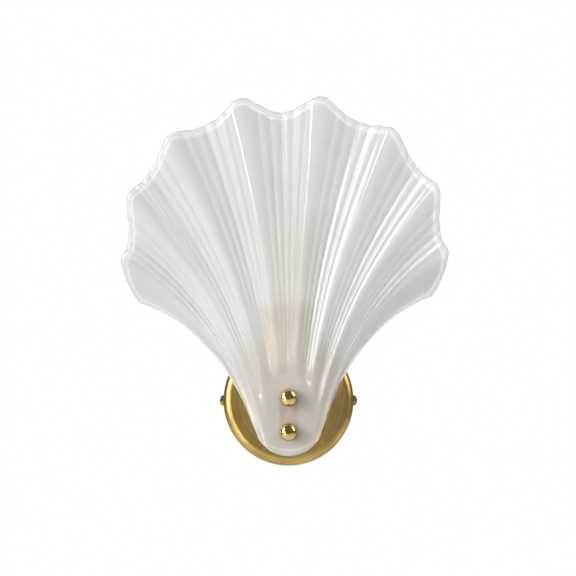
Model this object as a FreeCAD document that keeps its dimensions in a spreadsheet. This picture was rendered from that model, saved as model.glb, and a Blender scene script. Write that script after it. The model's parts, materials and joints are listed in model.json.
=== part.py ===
import FreeCAD, Part
import math
import os
import re

import Sketcher
from FreeCAD import Placement, Rotation, Vector

# Shell wall sconce, in millimetres. The wall is the plane Y = 0, the light stands out from it along
# -Y, +Z is up and +X is right. The origin is the canopy's centre on the wall.

SIZES = {
    # canopy, seal and wall strap
    "canopy_diameter": 100,
    "canopy_depth": 22,
    "canopy_wall": 1,
    "canopy_edge_round": 6,
    "seal_thickness": 2,
    "seal_width": 1,
    "strap_thickness": 1.5,
    "strap_height": 20,
    "strap_tab_gap": 0.3,
    "strap_tab_height": 13,
    "strap_end_margin": 3,
    "slot_spacing": 60,
    "slot_width": 4.5,
    "slot_length": 14,
    "cable_hole_diameter": 18,
    "tongue_width": 30,
    "tongue_top": 37,
    "tongue_margin": 2,
    # screws into the strap
    "side_screw_diameter": 4,
    "side_screw_from_wall": 12,
    "side_screw_grip": 7,
    "side_head_diameter": 8,
    "side_head_height": 2.8,
    "side_slot_width": 1,
    "side_slot_depth": 1.5,
    "earth_screw_diameter": 4,
    "earth_screw_from_centre": 16,
    "earth_head_diameter": 7.2,
    "earth_head_height": 2.2,
    "earth_tag_thickness": 0.8,
    "earth_tag_diameter": 7.6,
    "screw_hole_gap": 0.2,
    "head_chamfer": 1,
    # hollow nipple that ties the carrier to the canopy
    "nipple_diameter": 10,
    "nipple_bore": 7,
    "nut_across_flats": 14,
    "nut_thickness": 3,
    "washer_diameter": 15,
    "washer_thickness": 0.8,
    "nipple_spare": 2,
    "bush_flange_diameter": 9,
    "bush_flange": 1.2,
    "bush_bore": 5.2,
    "bush_reach": 4,
    # terminal block
    "block_length": 28,
    "block_height": 16,
    "block_depth": 12,
    "way_pitch": 9,
    "barrel_diameter": 4.4,
    "barrel_bore": 2.8,
    "barrel_inset": 1,
    "clamp_screw_diameter": 2.4,
    "clamp_screw_length": 3,
    "clamp_screw_from_end": 4,
    "fixing_screw_diameter": 3,
    "fixing_head_diameter": 4,
    "fixing_head_height": 1.5,
    # carrier bracket behind the glass
    "bracket_width": 17,
    "bracket_thickness": 2,
    "bracket_bend": 2,
    "bracket_foot": 10,
    "shelf_level": 19,
    "bolt_spacing": 26,
    "leg_below_bolt": 7,
    # glass clamp
    "glass_from_wall": 70,
    "glass_thickness": 5,
    "seat_grind": 0.1,
    "seat_margin": 1,
    "pad_thickness": 1,
    "pad_width": 14,
    "pad_overhang": 5,
    "bolt_diameter": 6,
    "bolt_head_diameter": 10,
    "bolt_head_height": 3,
    "sleeve_wall": 1,
    "sleeve_gap": 0.1,
    "glass_hole_gap": 0.5,
    "front_washer_diameter": 12,
    "front_washer_thickness": 0.6,
    "cap_nut_diameter": 13.4,
    "cap_nut_skirt": 2.6,
    "bolt_in_nut": 4,
    # shade outline
    "neck_half_width": 27.7,
    "neck_depth": 26.2,
    "neck_level": -17.6,
    "neck_sweep": 58,
    "rim_reach": 224.5,
    "shoulder_drop": 63.7,
    "fan_angle": 56.2,
    "fan_bow": 2.5,
    "scallop_middle": 13.5,
    "scallop_fall": -26,
    "scallop_return": 25,
    "corner_drop": 8,
    "lean_angle": 1.35,
    # shade depth
    "rim_forward": 40,
    "neck_arch": 6,
    "rim_arch": 55,
    "rib_relief_neck": 2,
    "rib_relief_rim": 7.5,
    "flat_margin": 1.2,
    "flat_fade": 22,
    # lampholder
    "holder_diameter": 36,
    "holder_wall": 1,
    "holder_nipple_bore": 7,
    "holder_nipple_below": 7,
    "holder_nipple_above": 8,
    "cup_height": 15,
    "cup_round": 8,
    "cup_boss_diameter": 14,
    "sleeve_height": 38,
    "sleeve_bead": 1,
    "core_floor": 6,
    "core_above_nipple": 1,
    "core_collar": 2,
    "core_diameter": 33,
    "core_height": 30,
    "shell_bore": 27,
    "shell_wall": 0.5,
    "shell_height": 24,
    "shell_lip": 3,
    "contact_width": 6,
    "contact_thickness": 0.6,
    "contact_rise": 3,
    # bulb
    "cap_gap": 0.1,
    "cap_height": 22,
    "cap_wall": 0.4,
    "cap_thread_depth": 0.7,
    "cap_thread_pitch": 3.6,
    "insulator_height": 4,
    "insulator_end_diameter": 12,
    "tip_diameter": 9,
    "tip_end_diameter": 6.4,
    "tip_height": 1.6,
    "globe_diameter": 50,
    "globe_wall": 0.8,
    "globe_neck_diameter": 25,
    "bulb_length": 109,
    "stem_diameter": 9,
    "stem_height": 34,
    "stem_foot": 2,
    "stem_flare": 8,
    "stem_head_diameter": 4.6,
    "filament_width": 22,
    "filament_diameter": 1.2,
    "filament_leg": 16,
    "filament_shoulder": 3,
    "filament_rise": 2,
    "filament_bend": 2,
    # leads
    "lead_diameter": 1.8,
    "lead_spacing": 2.4,
    "lead_bend": 9,
    "lead_turn": 5,
    "lead_in_block": 3,
    "lead_below_block": 6,
    "lead_off_strap": 9,
    "lead_end": 0.5,
    "earth_lead_run": 5,
    "earth_lead_lift": 3,
    "earth_lead_turn": 4,
    "earth_lead_gap": 0.3,
}

# Words used over and over, worked out from the sizes above. Distances from the wall are positive.
TERMS = {
    "canopy_radius": "canopy_diameter / 2",
    "canopy_face": "seal_thickness + canopy_depth",
    "canopy_inside": "canopy_face - canopy_wall",
    "leg_back": "glass_from_wall - glass_thickness - pad_thickness - bracket_thickness",
    "leg_front": "leg_back + bracket_thickness",
    "foot_front": "canopy_face + bracket_thickness",
    "shelf_under": "shelf_level - bracket_thickness",
    "lamp_from_wall": "(foot_front + leg_back) / 2",
    "nipple_front": "foot_front + nut_thickness + nipple_spare",
    "nipple_back": "canopy_inside - washer_thickness - nut_thickness - nipple_spare",
    "nut_diameter": "nut_across_flats / cos(30)",
    "tab_reach": "sqrt((canopy_radius - canopy_wall) ^ 2 - (strap_tab_height / 2) ^ 2)",
    "tab_face": "tab_reach - strap_tab_gap",
    "block_bottom": "tongue_top - tongue_margin - block_height",
    "way_from_wall": "strap_thickness + block_depth / 2",
    "cup_top": "shelf_level + cup_height",
    "core_bottom": "shelf_level + holder_nipple_above + core_above_nipple",
    "core_top": "core_bottom + core_height",
    "shell_bottom": "core_bottom + core_floor",
    "tip_level": "shell_bottom + contact_rise + contact_thickness",
    "cap_bottom": "tip_level + tip_height + insulator_height",
    "cap_top": "cap_bottom + cap_height",
    "cap_radius": "shell_bore / 2 - cap_gap",
    "globe_radius": "globe_diameter / 2",
    "globe_level": "tip_level + bulb_length - globe_radius",
    "sleeve_radius": "bolt_diameter / 2 + sleeve_gap + sleeve_wall",
    "flat_radius": "sqrt((pad_width / 2) ^ 2 + pad_overhang ^ 2) + flat_margin",
    "bar_shoulder": "(slot_spacing + slot_length) / 2 + strap_end_margin",
}

doc = FreeCAD.newDocument("shell_wall_sconce")
sheet = doc.addObject("Spreadsheet::Sheet", "Sizes")


def fill_sheet():
    """One row for each size and each term: its name in column A, its value in column B."""
    rows = list(SIZES.items()) + [(name, "=" + text) for name, text in TERMS.items()]
    for row, (name, content) in enumerate(rows, start=1):
        sheet.set("A%d" % row, name)
        sheet.set("B%d" % row, str(content))
        sheet.setAlias("B%d" % row, name)
    doc.recompute()


def value(text):
    """The number that an expression in the sheet's names comes to."""
    result = sheet.evalExpression(str(text))
    return float(getattr(result, "Value", result))


def linked(text):
    """The same expression with each name led by the sheet's own, for use outside the sheet."""
    def lead(word):
        name = word.group(0)
        return "Sizes." + name if name in SIZES or name in TERMS else name
    return re.sub(r"[a-z_]+", lead, str(text))


def bind(thing, prop, text):
    thing.setExpression(prop, linked(text))


def place(thing, x="0", y="0", z="0", axis=None, angle="0"):
    """Bind a placement to the sheet: a turn about one axis, then a move."""
    if axis is not None:
        thing.Placement = Placement(Vector(value(x), value(y), value(z)), Rotation(axis, value(angle)))
    for letter, text in (("x", x), ("y", y), ("z", z)):
        bind(thing, "Placement.Base." + letter, text)
    return thing


def new_body(label):
    body = doc.addObject("PartDesign::Body", label)
    body.Label = label
    return body


def new_sketch(body, role, offset=None):
    """A sketch on one of the body's own origin planes, moved out along the plane's normal."""
    sketch = body.newObject("Sketcher::SketchObject", body.Name + "_sketch")
    origin_plane = [item for item in body.Origin.OriginFeatures if item.Role == role][0]
    sketch.AttachmentSupport = [(origin_plane, "")]
    sketch.MapMode = "FlatFace"
    if offset is not None:
        bind(sketch, "AttachmentOffset.Base.z", offset)
    return sketch


def bind_point(sketch, geometry, end, across, up):
    """Hold one point of the sketch at a place given by two expressions."""
    for kind, text in (("DistanceX", across), ("DistanceY", up)):
        index = sketch.addConstraint(
            Sketcher.Constraint(kind, -1, 1, geometry, end, value(text)))
        bind(sketch, "Constraints[%d]" % index, text)


def draw_outline(sketch, corners):
    """Closed outline of straight lines through corners, each a pair of expressions."""
    points = [Vector(value(across), value(up), 0) for across, up in corners]
    first = sketch.GeometryCount
    count = len(points)
    for index in range(count):
        sketch.addGeometry(Part.LineSegment(points[index], points[(index + 1) % count]), False)
    for index in range(count):
        after = first + (index + 1) % count
        sketch.addConstraint(Sketcher.Constraint("Coincident", first + index, 2, after, 1))
    for index, (across, up) in enumerate(corners):
        bind_point(sketch, first + index, 1, across, up)


def draw_circle(sketch, across, up, diameter):
    centre = Vector(value(across), value(up), 0)
    up_axis = Vector(0, 0, 1)
    index = sketch.addGeometry(Part.Circle(centre, up_axis, value(diameter) / 2), False)
    bind_point(sketch, index, 3, across, up)
    size = sketch.addConstraint(Sketcher.Constraint("Diameter", index, value(diameter)))
    bind(sketch, "Constraints[%d]" % size, diameter)


def draw_slot(sketch, across, length, width):
    """Slot along the sketch's first axis, from two half circles and two lines."""
    centre = value(across)
    radius = value(width) / 2
    half_run = value(length) / 2 - radius
    normal = Vector(0, 0, 1)
    left = Part.Circle(Vector(centre - half_run, 0, 0), normal, radius)
    right = Part.Circle(Vector(centre + half_run, 0, 0), normal, radius)
    quarter = math.pi / 2
    arc_left = sketch.addGeometry(Part.ArcOfCircle(left, quarter, 3 * quarter), False)
    arc_right = sketch.addGeometry(Part.ArcOfCircle(right, -quarter, quarter), False)
    ends = [Vector(centre - half_run, -radius, 0), Vector(centre + half_run, -radius, 0),
            Vector(centre + half_run, radius, 0), Vector(centre - half_run, radius, 0)]
    lower = sketch.addGeometry(Part.LineSegment(ends[0], ends[1]), False)
    upper = sketch.addGeometry(Part.LineSegment(ends[2], ends[3]), False)
    for first, first_end, second, second_end in (
            (arc_left, 2, lower, 1), (lower, 2, arc_right, 1),
            (arc_right, 2, upper, 1), (upper, 2, arc_left, 1)):
        sketch.addConstraint(
            Sketcher.Constraint("Tangent", first, first_end, second, second_end))
    half_width = sketch.addConstraint(Sketcher.Constraint("Radius", arc_left, radius))
    bind(sketch, "Constraints[%d]" % half_width, "(%s) / 2" % width)
    run = "((%s) - (%s)) / 2" % (length, width)
    bind_point(sketch, arc_left, 3, "(%s) - %s" % (across, run), "0")
    bind_point(sketch, arc_right, 3, "(%s) + %s" % (across, run), "0")


def pad(body, sketch, length, symmetric=False):
    feature = body.newObject("PartDesign::Pad", body.Name + "_pad")
    feature.Profile = sketch
    feature.SideType = "Symmetric" if symmetric else "One side"
    bind(feature, "Length", length)
    doc.recompute()
    return feature


def pocket(body, sketch, length):
    """Cut the sketch into the body, and make sure that it took something away."""
    before = body.Shape.Volume
    feature = body.newObject("PartDesign::Pocket", body.Name + "_pocket")
    feature.Profile = sketch
    bind(feature, "Length", length)
    doc.recompute()
    if body.Shape.Volume > before - 1e-3:
        raise RuntimeError(body.Label + ": a pocket cuts nothing")
    return feature


def drill(body, role, offset, depth, holes):
    """Round holes, each (across, up, diameter), sunk from a plane at offset."""
    sketch = new_sketch(body, role, offset)
    for across, up, diameter in holes:
        draw_circle(sketch, across, up, diameter)
    return pocket(body, sketch, depth)


def turned(label, axis, corners, x="0", y="0", z="0"):
    """Solid of revolution about the Y or the Z axis. Each corner is (radius, place on the axis)."""
    body = new_body(label)
    sketch = new_sketch(body, "XY_Plane" if axis == "Y" else "XZ_Plane")
    draw_outline(sketch, corners)
    feature = body.newObject("PartDesign::Revolution", label + "_turn")
    feature.Profile = sketch
    feature.ReferenceAxis = (sketch, ["V_Axis"])
    feature.Angle = 360
    doc.recompute()
    return place(body, x, y, z)


def ring(label, axis, outer, inner, start, end, **spot):
    """Tube or washer: outer and inner diameters, and its two ends on the axis."""
    corners = [("(%s) / 2" % inner, start), ("(%s) / 2" % outer, start),
               ("(%s) / 2" % outer, end), ("(%s) / 2" % inner, end)]
    return turned(label, axis, corners, **spot)


def round_off(body, radius, wanted):
    """Fillet every edge of the body's tip that the test picks."""
    base = body.Tip
    edges = ["Edge%d" % (number + 1) for number, edge in enumerate(base.Shape.Edges) if wanted(edge)]
    if not edges:
        raise RuntimeError(body.Label + ": no edge to round")
    feature = body.newObject("PartDesign::Fillet", body.Name + "_round")
    feature.Base = (base, edges)
    bind(feature, "Radius", radius)
    doc.recompute()
    return feature


def near(number, text):
    return abs(number - value(text)) < 1e-4


def circle_at(edge, radius, along, centre):
    """True for a round edge of this radius whose centre lies at this place on Y or Z."""
    curve = edge.Curve
    if not hasattr(curve, "Radius") or not near(curve.Radius, radius):
        return False
    spot = curve.Center.y if along == "Y" else curve.Center.z
    return near(spot, centre)


def seen(thing, label):
    """Give the finished object the label that its file is named after."""
    thing.Label = label
    finished.append(thing)
    return thing


finished = []
fill_sheet()


# Canopy: a spun brass cup, open to the wall, with a soft round at its front edge.

def make_canopy():
    inner = "canopy_radius - canopy_wall"
    body = turned("canopy", "Y", [
        ("nipple_diameter / 2 + screw_hole_gap", "-canopy_face"), ("canopy_radius", "-canopy_face"),
        ("canopy_radius", "-seal_thickness"), (inner, "-seal_thickness"),
        (inner, "-canopy_inside"), ("nipple_diameter / 2 + screw_hole_gap", "-canopy_inside")])
    round_off(body, "canopy_edge_round",
              lambda edge: circle_at(edge, "canopy_radius", "Y", "-canopy_face"))
    round_off(body, "canopy_edge_round - canopy_wall",
              lambda edge: circle_at(edge, inner, "Y", "-canopy_inside"))
    hole = [("-side_screw_from_wall", "0", "side_screw_diameter + 2 * screw_hole_gap")]
    # The side plane's first axis is Y, so its holes are placed by their distance from the wall.
    drill(body, "YZ_Plane", "canopy_radius", "canopy_diameter", hole)
    return seen(body, "canopy")


# Seal: a thin soft ring between the canopy's rim and the wall.

def make_seal():
    return seen(ring("wall_seal", "Y", "canopy_diameter", "canopy_diameter - 2 * seal_width",
                     "-seal_thickness", "0"), "wall_seal")


# Wall strap: a pressed steel bar with a tab bent out at each end and a tongue for the terminals.

def make_strap():
    body = new_body("wall_strap")
    half = "strap_height / 2"
    corner = "strap_tab_height / 2"
    sketch = new_sketch(body, "XZ_Plane")
    draw_outline(sketch, [
        ("-bar_shoulder", "-" + half), ("bar_shoulder", "-" + half),
        ("bar_shoulder", "-" + corner), ("tab_face", "-" + corner), ("tab_face", corner),
        ("bar_shoulder", corner), ("bar_shoulder", half),
        ("tongue_width / 2", half), ("tongue_width / 2", "tongue_top"),
        ("-tongue_width / 2", "tongue_top"), ("-tongue_width / 2", half),
        ("-bar_shoulder", half), ("-bar_shoulder", corner), ("-tab_face", corner),
        ("-tab_face", "-" + corner), ("-bar_shoulder", "-" + corner)])
    pad(body, sketch, "strap_thickness")
    for side in ("", "-"):
        sketch = new_sketch(body, "XZ_Plane")
        outer = side + "tab_face"
        inner = side + "(tab_face - strap_thickness)"
        corners = [(inner, "-" + corner), (outer, "-" + corner), (outer, corner), (inner, corner)]
        draw_outline(sketch, corners)
        pad(body, sketch, "side_screw_from_wall + side_screw_diameter")
    sketch = new_sketch(body, "XZ_Plane", "strap_thickness")
    draw_slot(sketch, "-slot_spacing / 2", "slot_length", "slot_width")
    draw_slot(sketch, "slot_spacing / 2", "slot_length", "slot_width")
    pocket(body, sketch, "strap_thickness")
    drill(body, "XZ_Plane", "strap_thickness", "strap_thickness",
          [("0", "0", "cable_hole_diameter"),
           ("earth_screw_from_centre", "0", "earth_screw_diameter"),
           ("-way_pitch / 2", "block_bottom + block_height / 2", "fixing_screw_diameter")])
    drill(body, "YZ_Plane", "canopy_radius", "canopy_diameter",
          [("-side_screw_from_wall", "0", "side_screw_diameter")])
    return seen(body, "wall_strap")


# Side screws: slotted raised heads on the canopy's sides, threaded into the strap's tabs.

# The raised head's curve, each point a share of the head's height and a share of its radius.
HEAD_CURVE = ((0.35, 1.0), (0.8, 0.72), (1.0, 0.3))


def make_side_screw(label, side):
    """Turned about X: shank from inside the tab out to the head, which is a low dome."""
    body = new_body(label)
    sketch = new_sketch(body, "XY_Plane")
    seat = "canopy_radius"
    tail = "canopy_radius - side_screw_grip"
    shank = "side_screw_diameter / 2"
    head = "side_head_diameter / 2"
    signed = ("" if side > 0 else "-") + "(%s)"
    corners = [(tail, "0"), (tail, shank), (seat, shank), (seat, head)]
    for height, width in HEAD_CURVE:
        corners.append(("canopy_radius + side_head_height * %g" % height, head + " * %g" % width))
    corners.append(("canopy_radius + side_head_height", "0"))
    draw_outline(sketch, [(signed % across, up) for across, up in corners])
    feature = body.newObject("PartDesign::Revolution", label + "_turn")
    feature.Profile = sketch
    feature.ReferenceAxis = (sketch, ["H_Axis"])
    feature.Angle = 360
    doc.recompute()
    # The driver slot runs across the head, square to the screw.
    sketch = new_sketch(body, "XY_Plane")
    bottom = "canopy_radius + side_head_height - side_slot_depth"
    top = "canopy_radius + side_head_height + side_slot_depth"
    slot = "side_slot_width / 2"
    draw_outline(sketch, [(signed % bottom, "-" + slot), (signed % top, "-" + slot),
                          (signed % top, slot), (signed % bottom, slot)])
    before = body.Shape.Volume
    cut = body.newObject("PartDesign::Pocket", label + "_slot")
    cut.Profile = sketch
    cut.SideType = "Symmetric"
    bind(cut, "Length", "2 * side_head_diameter")
    doc.recompute()
    if body.Shape.Volume > before - 1e-3:
        raise RuntimeError(label + ": the slot cuts nothing")
    place(body, "0", "-side_screw_from_wall", "0")
    return seen(body, label)


# Earth screw and its tag, on the strap beside the cable hole.

def make_earth_terminal():
    seat = "strap_thickness + earth_tag_thickness"
    shank = "earth_screw_diameter / 2"
    head = "earth_head_diameter / 2"
    top = seat + " + earth_head_height"
    screw = turned("earth_screw", "Y", [
        ("0", "0"), (shank, "0"), (shank, "-(%s)" % seat), (head, "-(%s)" % seat),
        (head, "-(%s - head_chamfer)" % top), (head + " - head_chamfer", "-(%s)" % top),
        ("0", "-(%s)" % top)], x="earth_screw_from_centre")
    seen(screw, "earth_screw")
    tag = ring("earth_tag", "Y", "earth_tag_diameter", "earth_screw_diameter",
               "-strap_thickness", "-(%s)" % seat, x="earth_screw_from_centre")
    seen(tag, "earth_tag")


# Hex nuts: a prism with its bore cut out, lying along Y or Z.

def hex_nut(label, start, length, bore, x="0", y="0", z="0", along_y=True):
    prism = doc.addObject("Part::Prism", label + "_prism")
    prism.Polygon = 6
    bind(prism, "Circumradius", "nut_diameter / 2")
    bind(prism, "Height", length)
    hole = doc.addObject("Part::Cylinder", label + "_bore")
    bind(hole, "Radius", "(%s) / 2" % bore)
    bind(hole, "Height", length)
    nut = doc.addObject("Part::Cut", label)
    nut.Base = prism
    nut.Tool = hole
    if along_y:
        place(nut, x, "-(%s)" % start, z, Vector(1, 0, 0), "90")
    else:
        place(nut, x, y, start)
    return seen(nut, label)


# Entry nipple: the hollow threaded tube that holds the carrier's foot to the canopy.

def make_entry():
    seen(ring("entry_nipple", "Y", "nipple_diameter", "nipple_bore",
              "-nipple_front", "-nipple_back"), "entry_nipple")
    washer = ring("entry_lock_washer", "Y", "washer_diameter", "nipple_diameter",
                  "-canopy_inside", "washer_thickness - canopy_inside")
    seen(washer, "entry_lock_washer")
    back = "canopy_inside - washer_thickness - nut_thickness"
    hex_nut("entry_inner_nut", back, "nut_thickness", "nipple_diameter")
    hex_nut("entry_outer_nut", "foot_front", "nut_thickness", "nipple_diameter")
    bush = turned("entry_bush", "Y", [
        ("bush_bore / 2", "bush_reach - nipple_front"),
        ("nipple_bore / 2", "bush_reach - nipple_front"), ("nipple_bore / 2", "-nipple_front"),
        ("bush_flange_diameter / 2", "-nipple_front"),
        ("bush_flange_diameter / 2", "-(nipple_front + bush_flange)"),
        ("bush_bore / 2", "-(nipple_front + bush_flange)")])
    seen(bush, "entry_bush")


# Terminal block on the strap's tongue, with three ways: live, neutral and earth.

def way_centres():
    return ("-way_pitch", "0", "way_pitch")


def make_terminals():
    body = new_body("terminal_block")
    sketch = new_sketch(body, "XZ_Plane", "strap_thickness")
    half = "block_length / 2"
    top = "block_bottom + block_height"
    draw_outline(sketch, [("-" + half, "block_bottom"), (half, "block_bottom"),
                          (half, top), ("-" + half, top)])
    pad(body, sketch, "block_depth")
    drill(body, "XY_Plane", top, "block_height",
          [(centre, "-way_from_wall", "barrel_diameter") for centre in way_centres()])
    front = "strap_thickness + block_depth"
    levels = ("block_bottom + clamp_screw_from_end", top + " - clamp_screw_from_end")
    screws = [(centre, level, "clamp_screw_diameter")
              for centre in way_centres() for level in levels]
    drill(body, "XZ_Plane", front, "block_depth / 2", screws)
    middle = "block_bottom + block_height / 2"
    drill(body, "XZ_Plane", front, "block_depth",
          [("-way_pitch / 2", middle, "fixing_screw_diameter")])
    seen(body, "terminal_block")

    barrels = []
    for number, centre in enumerate(way_centres()):
        barrels.append(ring("barrel_%d" % number, "Z", "barrel_diameter", "barrel_bore",
                            "block_bottom + barrel_inset",
                            "block_bottom + block_height - barrel_inset",
                            x=centre, y="-way_from_wall"))
    group = doc.addObject("Part::Compound", "terminal_barrels")
    group.Links = barrels
    seen(group, "terminal_barrels")

    screws = []
    for centre in way_centres():
        for level in levels:
            screw = doc.addObject("Part::Cylinder", "clamp_screw")
            bind(screw, "Radius", "clamp_screw_diameter / 2")
            bind(screw, "Height", "clamp_screw_length")
            seat = "way_from_wall + barrel_diameter / 2"
            place(screw, centre, "-(%s)" % seat, level, Vector(1, 0, 0), "90")
            screws.append(screw)
    group = doc.addObject("Part::Compound", "terminal_screws")
    group.Links = screws
    seen(group, "terminal_screws")

    shank = "fixing_screw_diameter / 2"
    head = "fixing_head_diameter / 2"
    screw = turned("terminal_fixing_screw", "Y", [
        ("0", "0"), (shank, "0"), (shank, "-(%s)" % front), (head, "-(%s)" % front),
        (head, "-(%s + fixing_head_height)" % front), ("0", "-(%s + fixing_head_height)" % front)],
        x="-way_pitch / 2", z=middle)
    seen(screw, "terminal_fixing_screw")


# Shade bracket: one brass strip bent twice, foot on the canopy, shelf on top, leg behind the glass.

def make_bracket():
    body = new_body("shade_bracket")
    sketch = new_sketch(body, "YZ_Plane")
    toe = "-(bolt_spacing + leg_below_bolt)"
    draw_outline(sketch, [
        ("-canopy_face", "-bracket_foot"), ("-canopy_face", "shelf_level"),
        ("-leg_front", "shelf_level"), ("-leg_front", toe), ("-leg_back", toe),
        ("-leg_back", "shelf_under"), ("-foot_front", "shelf_under"),
        ("-foot_front", "-bracket_foot")])
    pad(body, sketch, "bracket_width", symmetric=True)

    def bend_edge(edge, level, places):
        middle = edge.CenterOfMass
        along_x = edge.BoundBox.YLength < 1e-4 and edge.BoundBox.ZLength < 1e-4
        return along_x and near(middle.z, level) and any(near(-middle.y, spot) for spot in places)

    round_off(body, "bracket_bend + bracket_thickness",
              lambda edge: bend_edge(edge, "shelf_level", ("canopy_face", "leg_front")))
    round_off(body, "bracket_bend",
              lambda edge: bend_edge(edge, "shelf_under", ("foot_front", "leg_back")))
    gap = "2 * screw_hole_gap"
    drill(body, "XZ_Plane", "foot_front", "bracket_thickness", [("0", "0", "nipple_diameter + " + gap)])
    drill(body, "XZ_Plane", "leg_front", "bracket_thickness",
          [("0", level, "bolt_diameter + " + gap) for level in ("0", "-bolt_spacing")])
    drill(body, "XY_Plane", "shelf_level", "bracket_thickness",
          [("0", "-lamp_from_wall", "nipple_diameter + " + gap)])
    return seen(body, "shade_bracket")


# Glass clamp: pad, bolts from behind, sleeves through the glass, washers and domed cap nuts.

BOLT_LEVELS = (("upper", "0"), ("lower", "-bolt_spacing"))


def make_pad():
    body = new_body("glass_pad")
    sketch = new_sketch(body, "XZ_Plane", "leg_front")
    half = "pad_width / 2"
    bottom = "-(bolt_spacing + pad_overhang)"
    draw_outline(sketch, [("-" + half, bottom), (half, bottom),
                          (half, "pad_overhang"), ("-" + half, "pad_overhang")])
    pad(body, sketch, "pad_thickness")
    drill(body, "XZ_Plane", "leg_front + pad_thickness", "pad_thickness",
          [("0", level, "bolt_diameter + 2 * screw_hole_gap") for name, level in BOLT_LEVELS])
    return seen(body, "glass_pad")


def make_bolts():
    """Round-headed bolts whose heads sit behind the leg."""
    end = "glass_from_wall + front_washer_thickness + bolt_in_nut"
    for name, level in BOLT_LEVELS:
        shank = "bolt_diameter / 2"
        head = "bolt_head_diameter / 2"
        back = "leg_back - bolt_head_height"
        bolt = turned("shade_bolt_" + name, "Y", [
            ("0", "-(%s)" % end), (shank, "-(%s)" % end), (shank, "-leg_back"), (head, "-leg_back"),
            (head, "-(%s + head_chamfer)" % back), (head + " - head_chamfer", "-(%s)" % back),
            ("0", "-(%s)" % back)], z=level)
        seen(bolt, "shade_bolt_" + name)


def make_clamp_rings():
    """Sleeves that keep the bolts off the glass, and the soft washers under the cap nuts."""
    sleeves = []
    washers = []
    front = "glass_from_wall + front_washer_thickness"
    for name, level in BOLT_LEVELS:
        sleeves.append(ring("sleeve_" + name, "Y", "2 * sleeve_radius",
                            "bolt_diameter + 2 * sleeve_gap", "-glass_from_wall",
                            "glass_thickness - glass_from_wall", z=level))
        washers.append(ring("washer_" + name, "Y", "front_washer_diameter",
                            "bolt_diameter + 2 * screw_hole_gap", "-(%s)" % front,
                            "-glass_from_wall", z=level))
    for label, rings in (("bolt_sleeves", sleeves), ("front_washers", washers)):
        group = doc.addObject("Part::Compound", label)
        group.Links = rings
        seen(group, label)


def make_cap_nuts():
    """Domed nuts: a short round skirt with most of a half ball on it, bored blind for the bolt."""
    seat = "glass_from_wall + front_washer_thickness"
    radius = "cap_nut_diameter / 2"
    for name, level in BOLT_LEVELS:
        label = "cap_nut_" + name
        skirt = doc.addObject("Part::Cylinder", label + "_skirt")
        bind(skirt, "Radius", radius)
        bind(skirt, "Height", "cap_nut_skirt")
        dome = doc.addObject("Part::Sphere", label + "_dome")
        bind(dome, "Radius", radius)
        dome.Angle1 = 0
        place(dome, z="cap_nut_skirt")
        whole = doc.addObject("Part::Fuse", label + "_whole")
        whole.Base = skirt
        whole.Tool = dome
        thread = doc.addObject("Part::Cylinder", label + "_thread")
        bind(thread, "Radius", "bolt_diameter / 2")
        bind(thread, "Height", "bolt_in_nut")
        nut = doc.addObject("Part::Cut", label)
        nut.Base = whole
        nut.Tool = thread
        place(nut, "0", "-(%s)" % seat, level, Vector(1, 0, 0), "90")
        seen(nut, label)


# Glass shade. Its front face is a surface in two parameters: u runs across the fan from -1 to 1 and
# v runs along the ribs from the bottom of the neck, 0, to the scalloped rim, 1.

LOBES = 8
RIM_POWER = 2.24
TIP_SHARPNESS = 1.36
START_TILT = 20
END_TILT = 70.4
START_PULL = 0.39
START_PULL_FALL = 0.6
END_PULL = 0.43
END_PULL_RISE = 0.16
SHOULDER_ANGLE = 50
LEAN_POWER = 2.0
ARCH_ROUND_SHARE = 0.55
ARCH_EDGE_POWER = 6
ARCH_FULL_AT = 0.75
RIB_START = 0.06
RIB_FADE = 0.2
EDGE_LOBE = (LOBES - 1) / LOBES
CORNER_POWER = 3
BACK_RIB_POWER = 2
STEPS_ACROSS = 80
STEPS_ALONG = 36
STEP_CROWDING = 1.35


def ease(amount):
    """Smooth step: 0 below 0, 1 above 1 and level at both ends."""
    amount = min(max(amount, 0.0), 1.0)
    return amount * amount * (3 - 2 * amount)


def lobe_height(across):
    """0 in a valley and 1 on the crest of a rib."""
    return 0.5 - 0.5 * math.cos(LOBES * math.pi * across)


def neck_point(shape, across):
    """Start of a path: an arc of an ellipse round the bottom of the neck."""
    turn = math.radians(shape["neck_sweep"] * across)
    return (shape["neck_half_width"] * math.sin(turn),
            shape["neck_level"] - shape["neck_depth"] * math.cos(turn))


def rim_point(shape, across):
    """End of a path: a radius about the origin that falls to the shoulders, less the scallops."""
    degrees = shape["fan_angle"] * across + shape["fan_bow"] * math.sin(math.pi * across)
    size = abs(across)
    valley = 1 - lobe_height(across) ** TIP_SHARPNESS
    if size > EDGE_LOBE:
        valley = 0
    scallop = shape["scallop_middle"] + shape["scallop_fall"] * size
    scallop += shape["scallop_return"] * size * size
    corner = max(0.0, (size - EDGE_LOBE) / (1 - EDGE_LOBE))
    reach = shape["rim_reach"] - shape["shoulder_drop"] * (abs(degrees) / SHOULDER_ANGLE) ** RIM_POWER
    reach -= scallop * valley + shape["corner_drop"] * corner ** CORNER_POWER
    turn = math.radians(degrees)
    return reach * math.sin(turn), reach * math.cos(turn)


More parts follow.
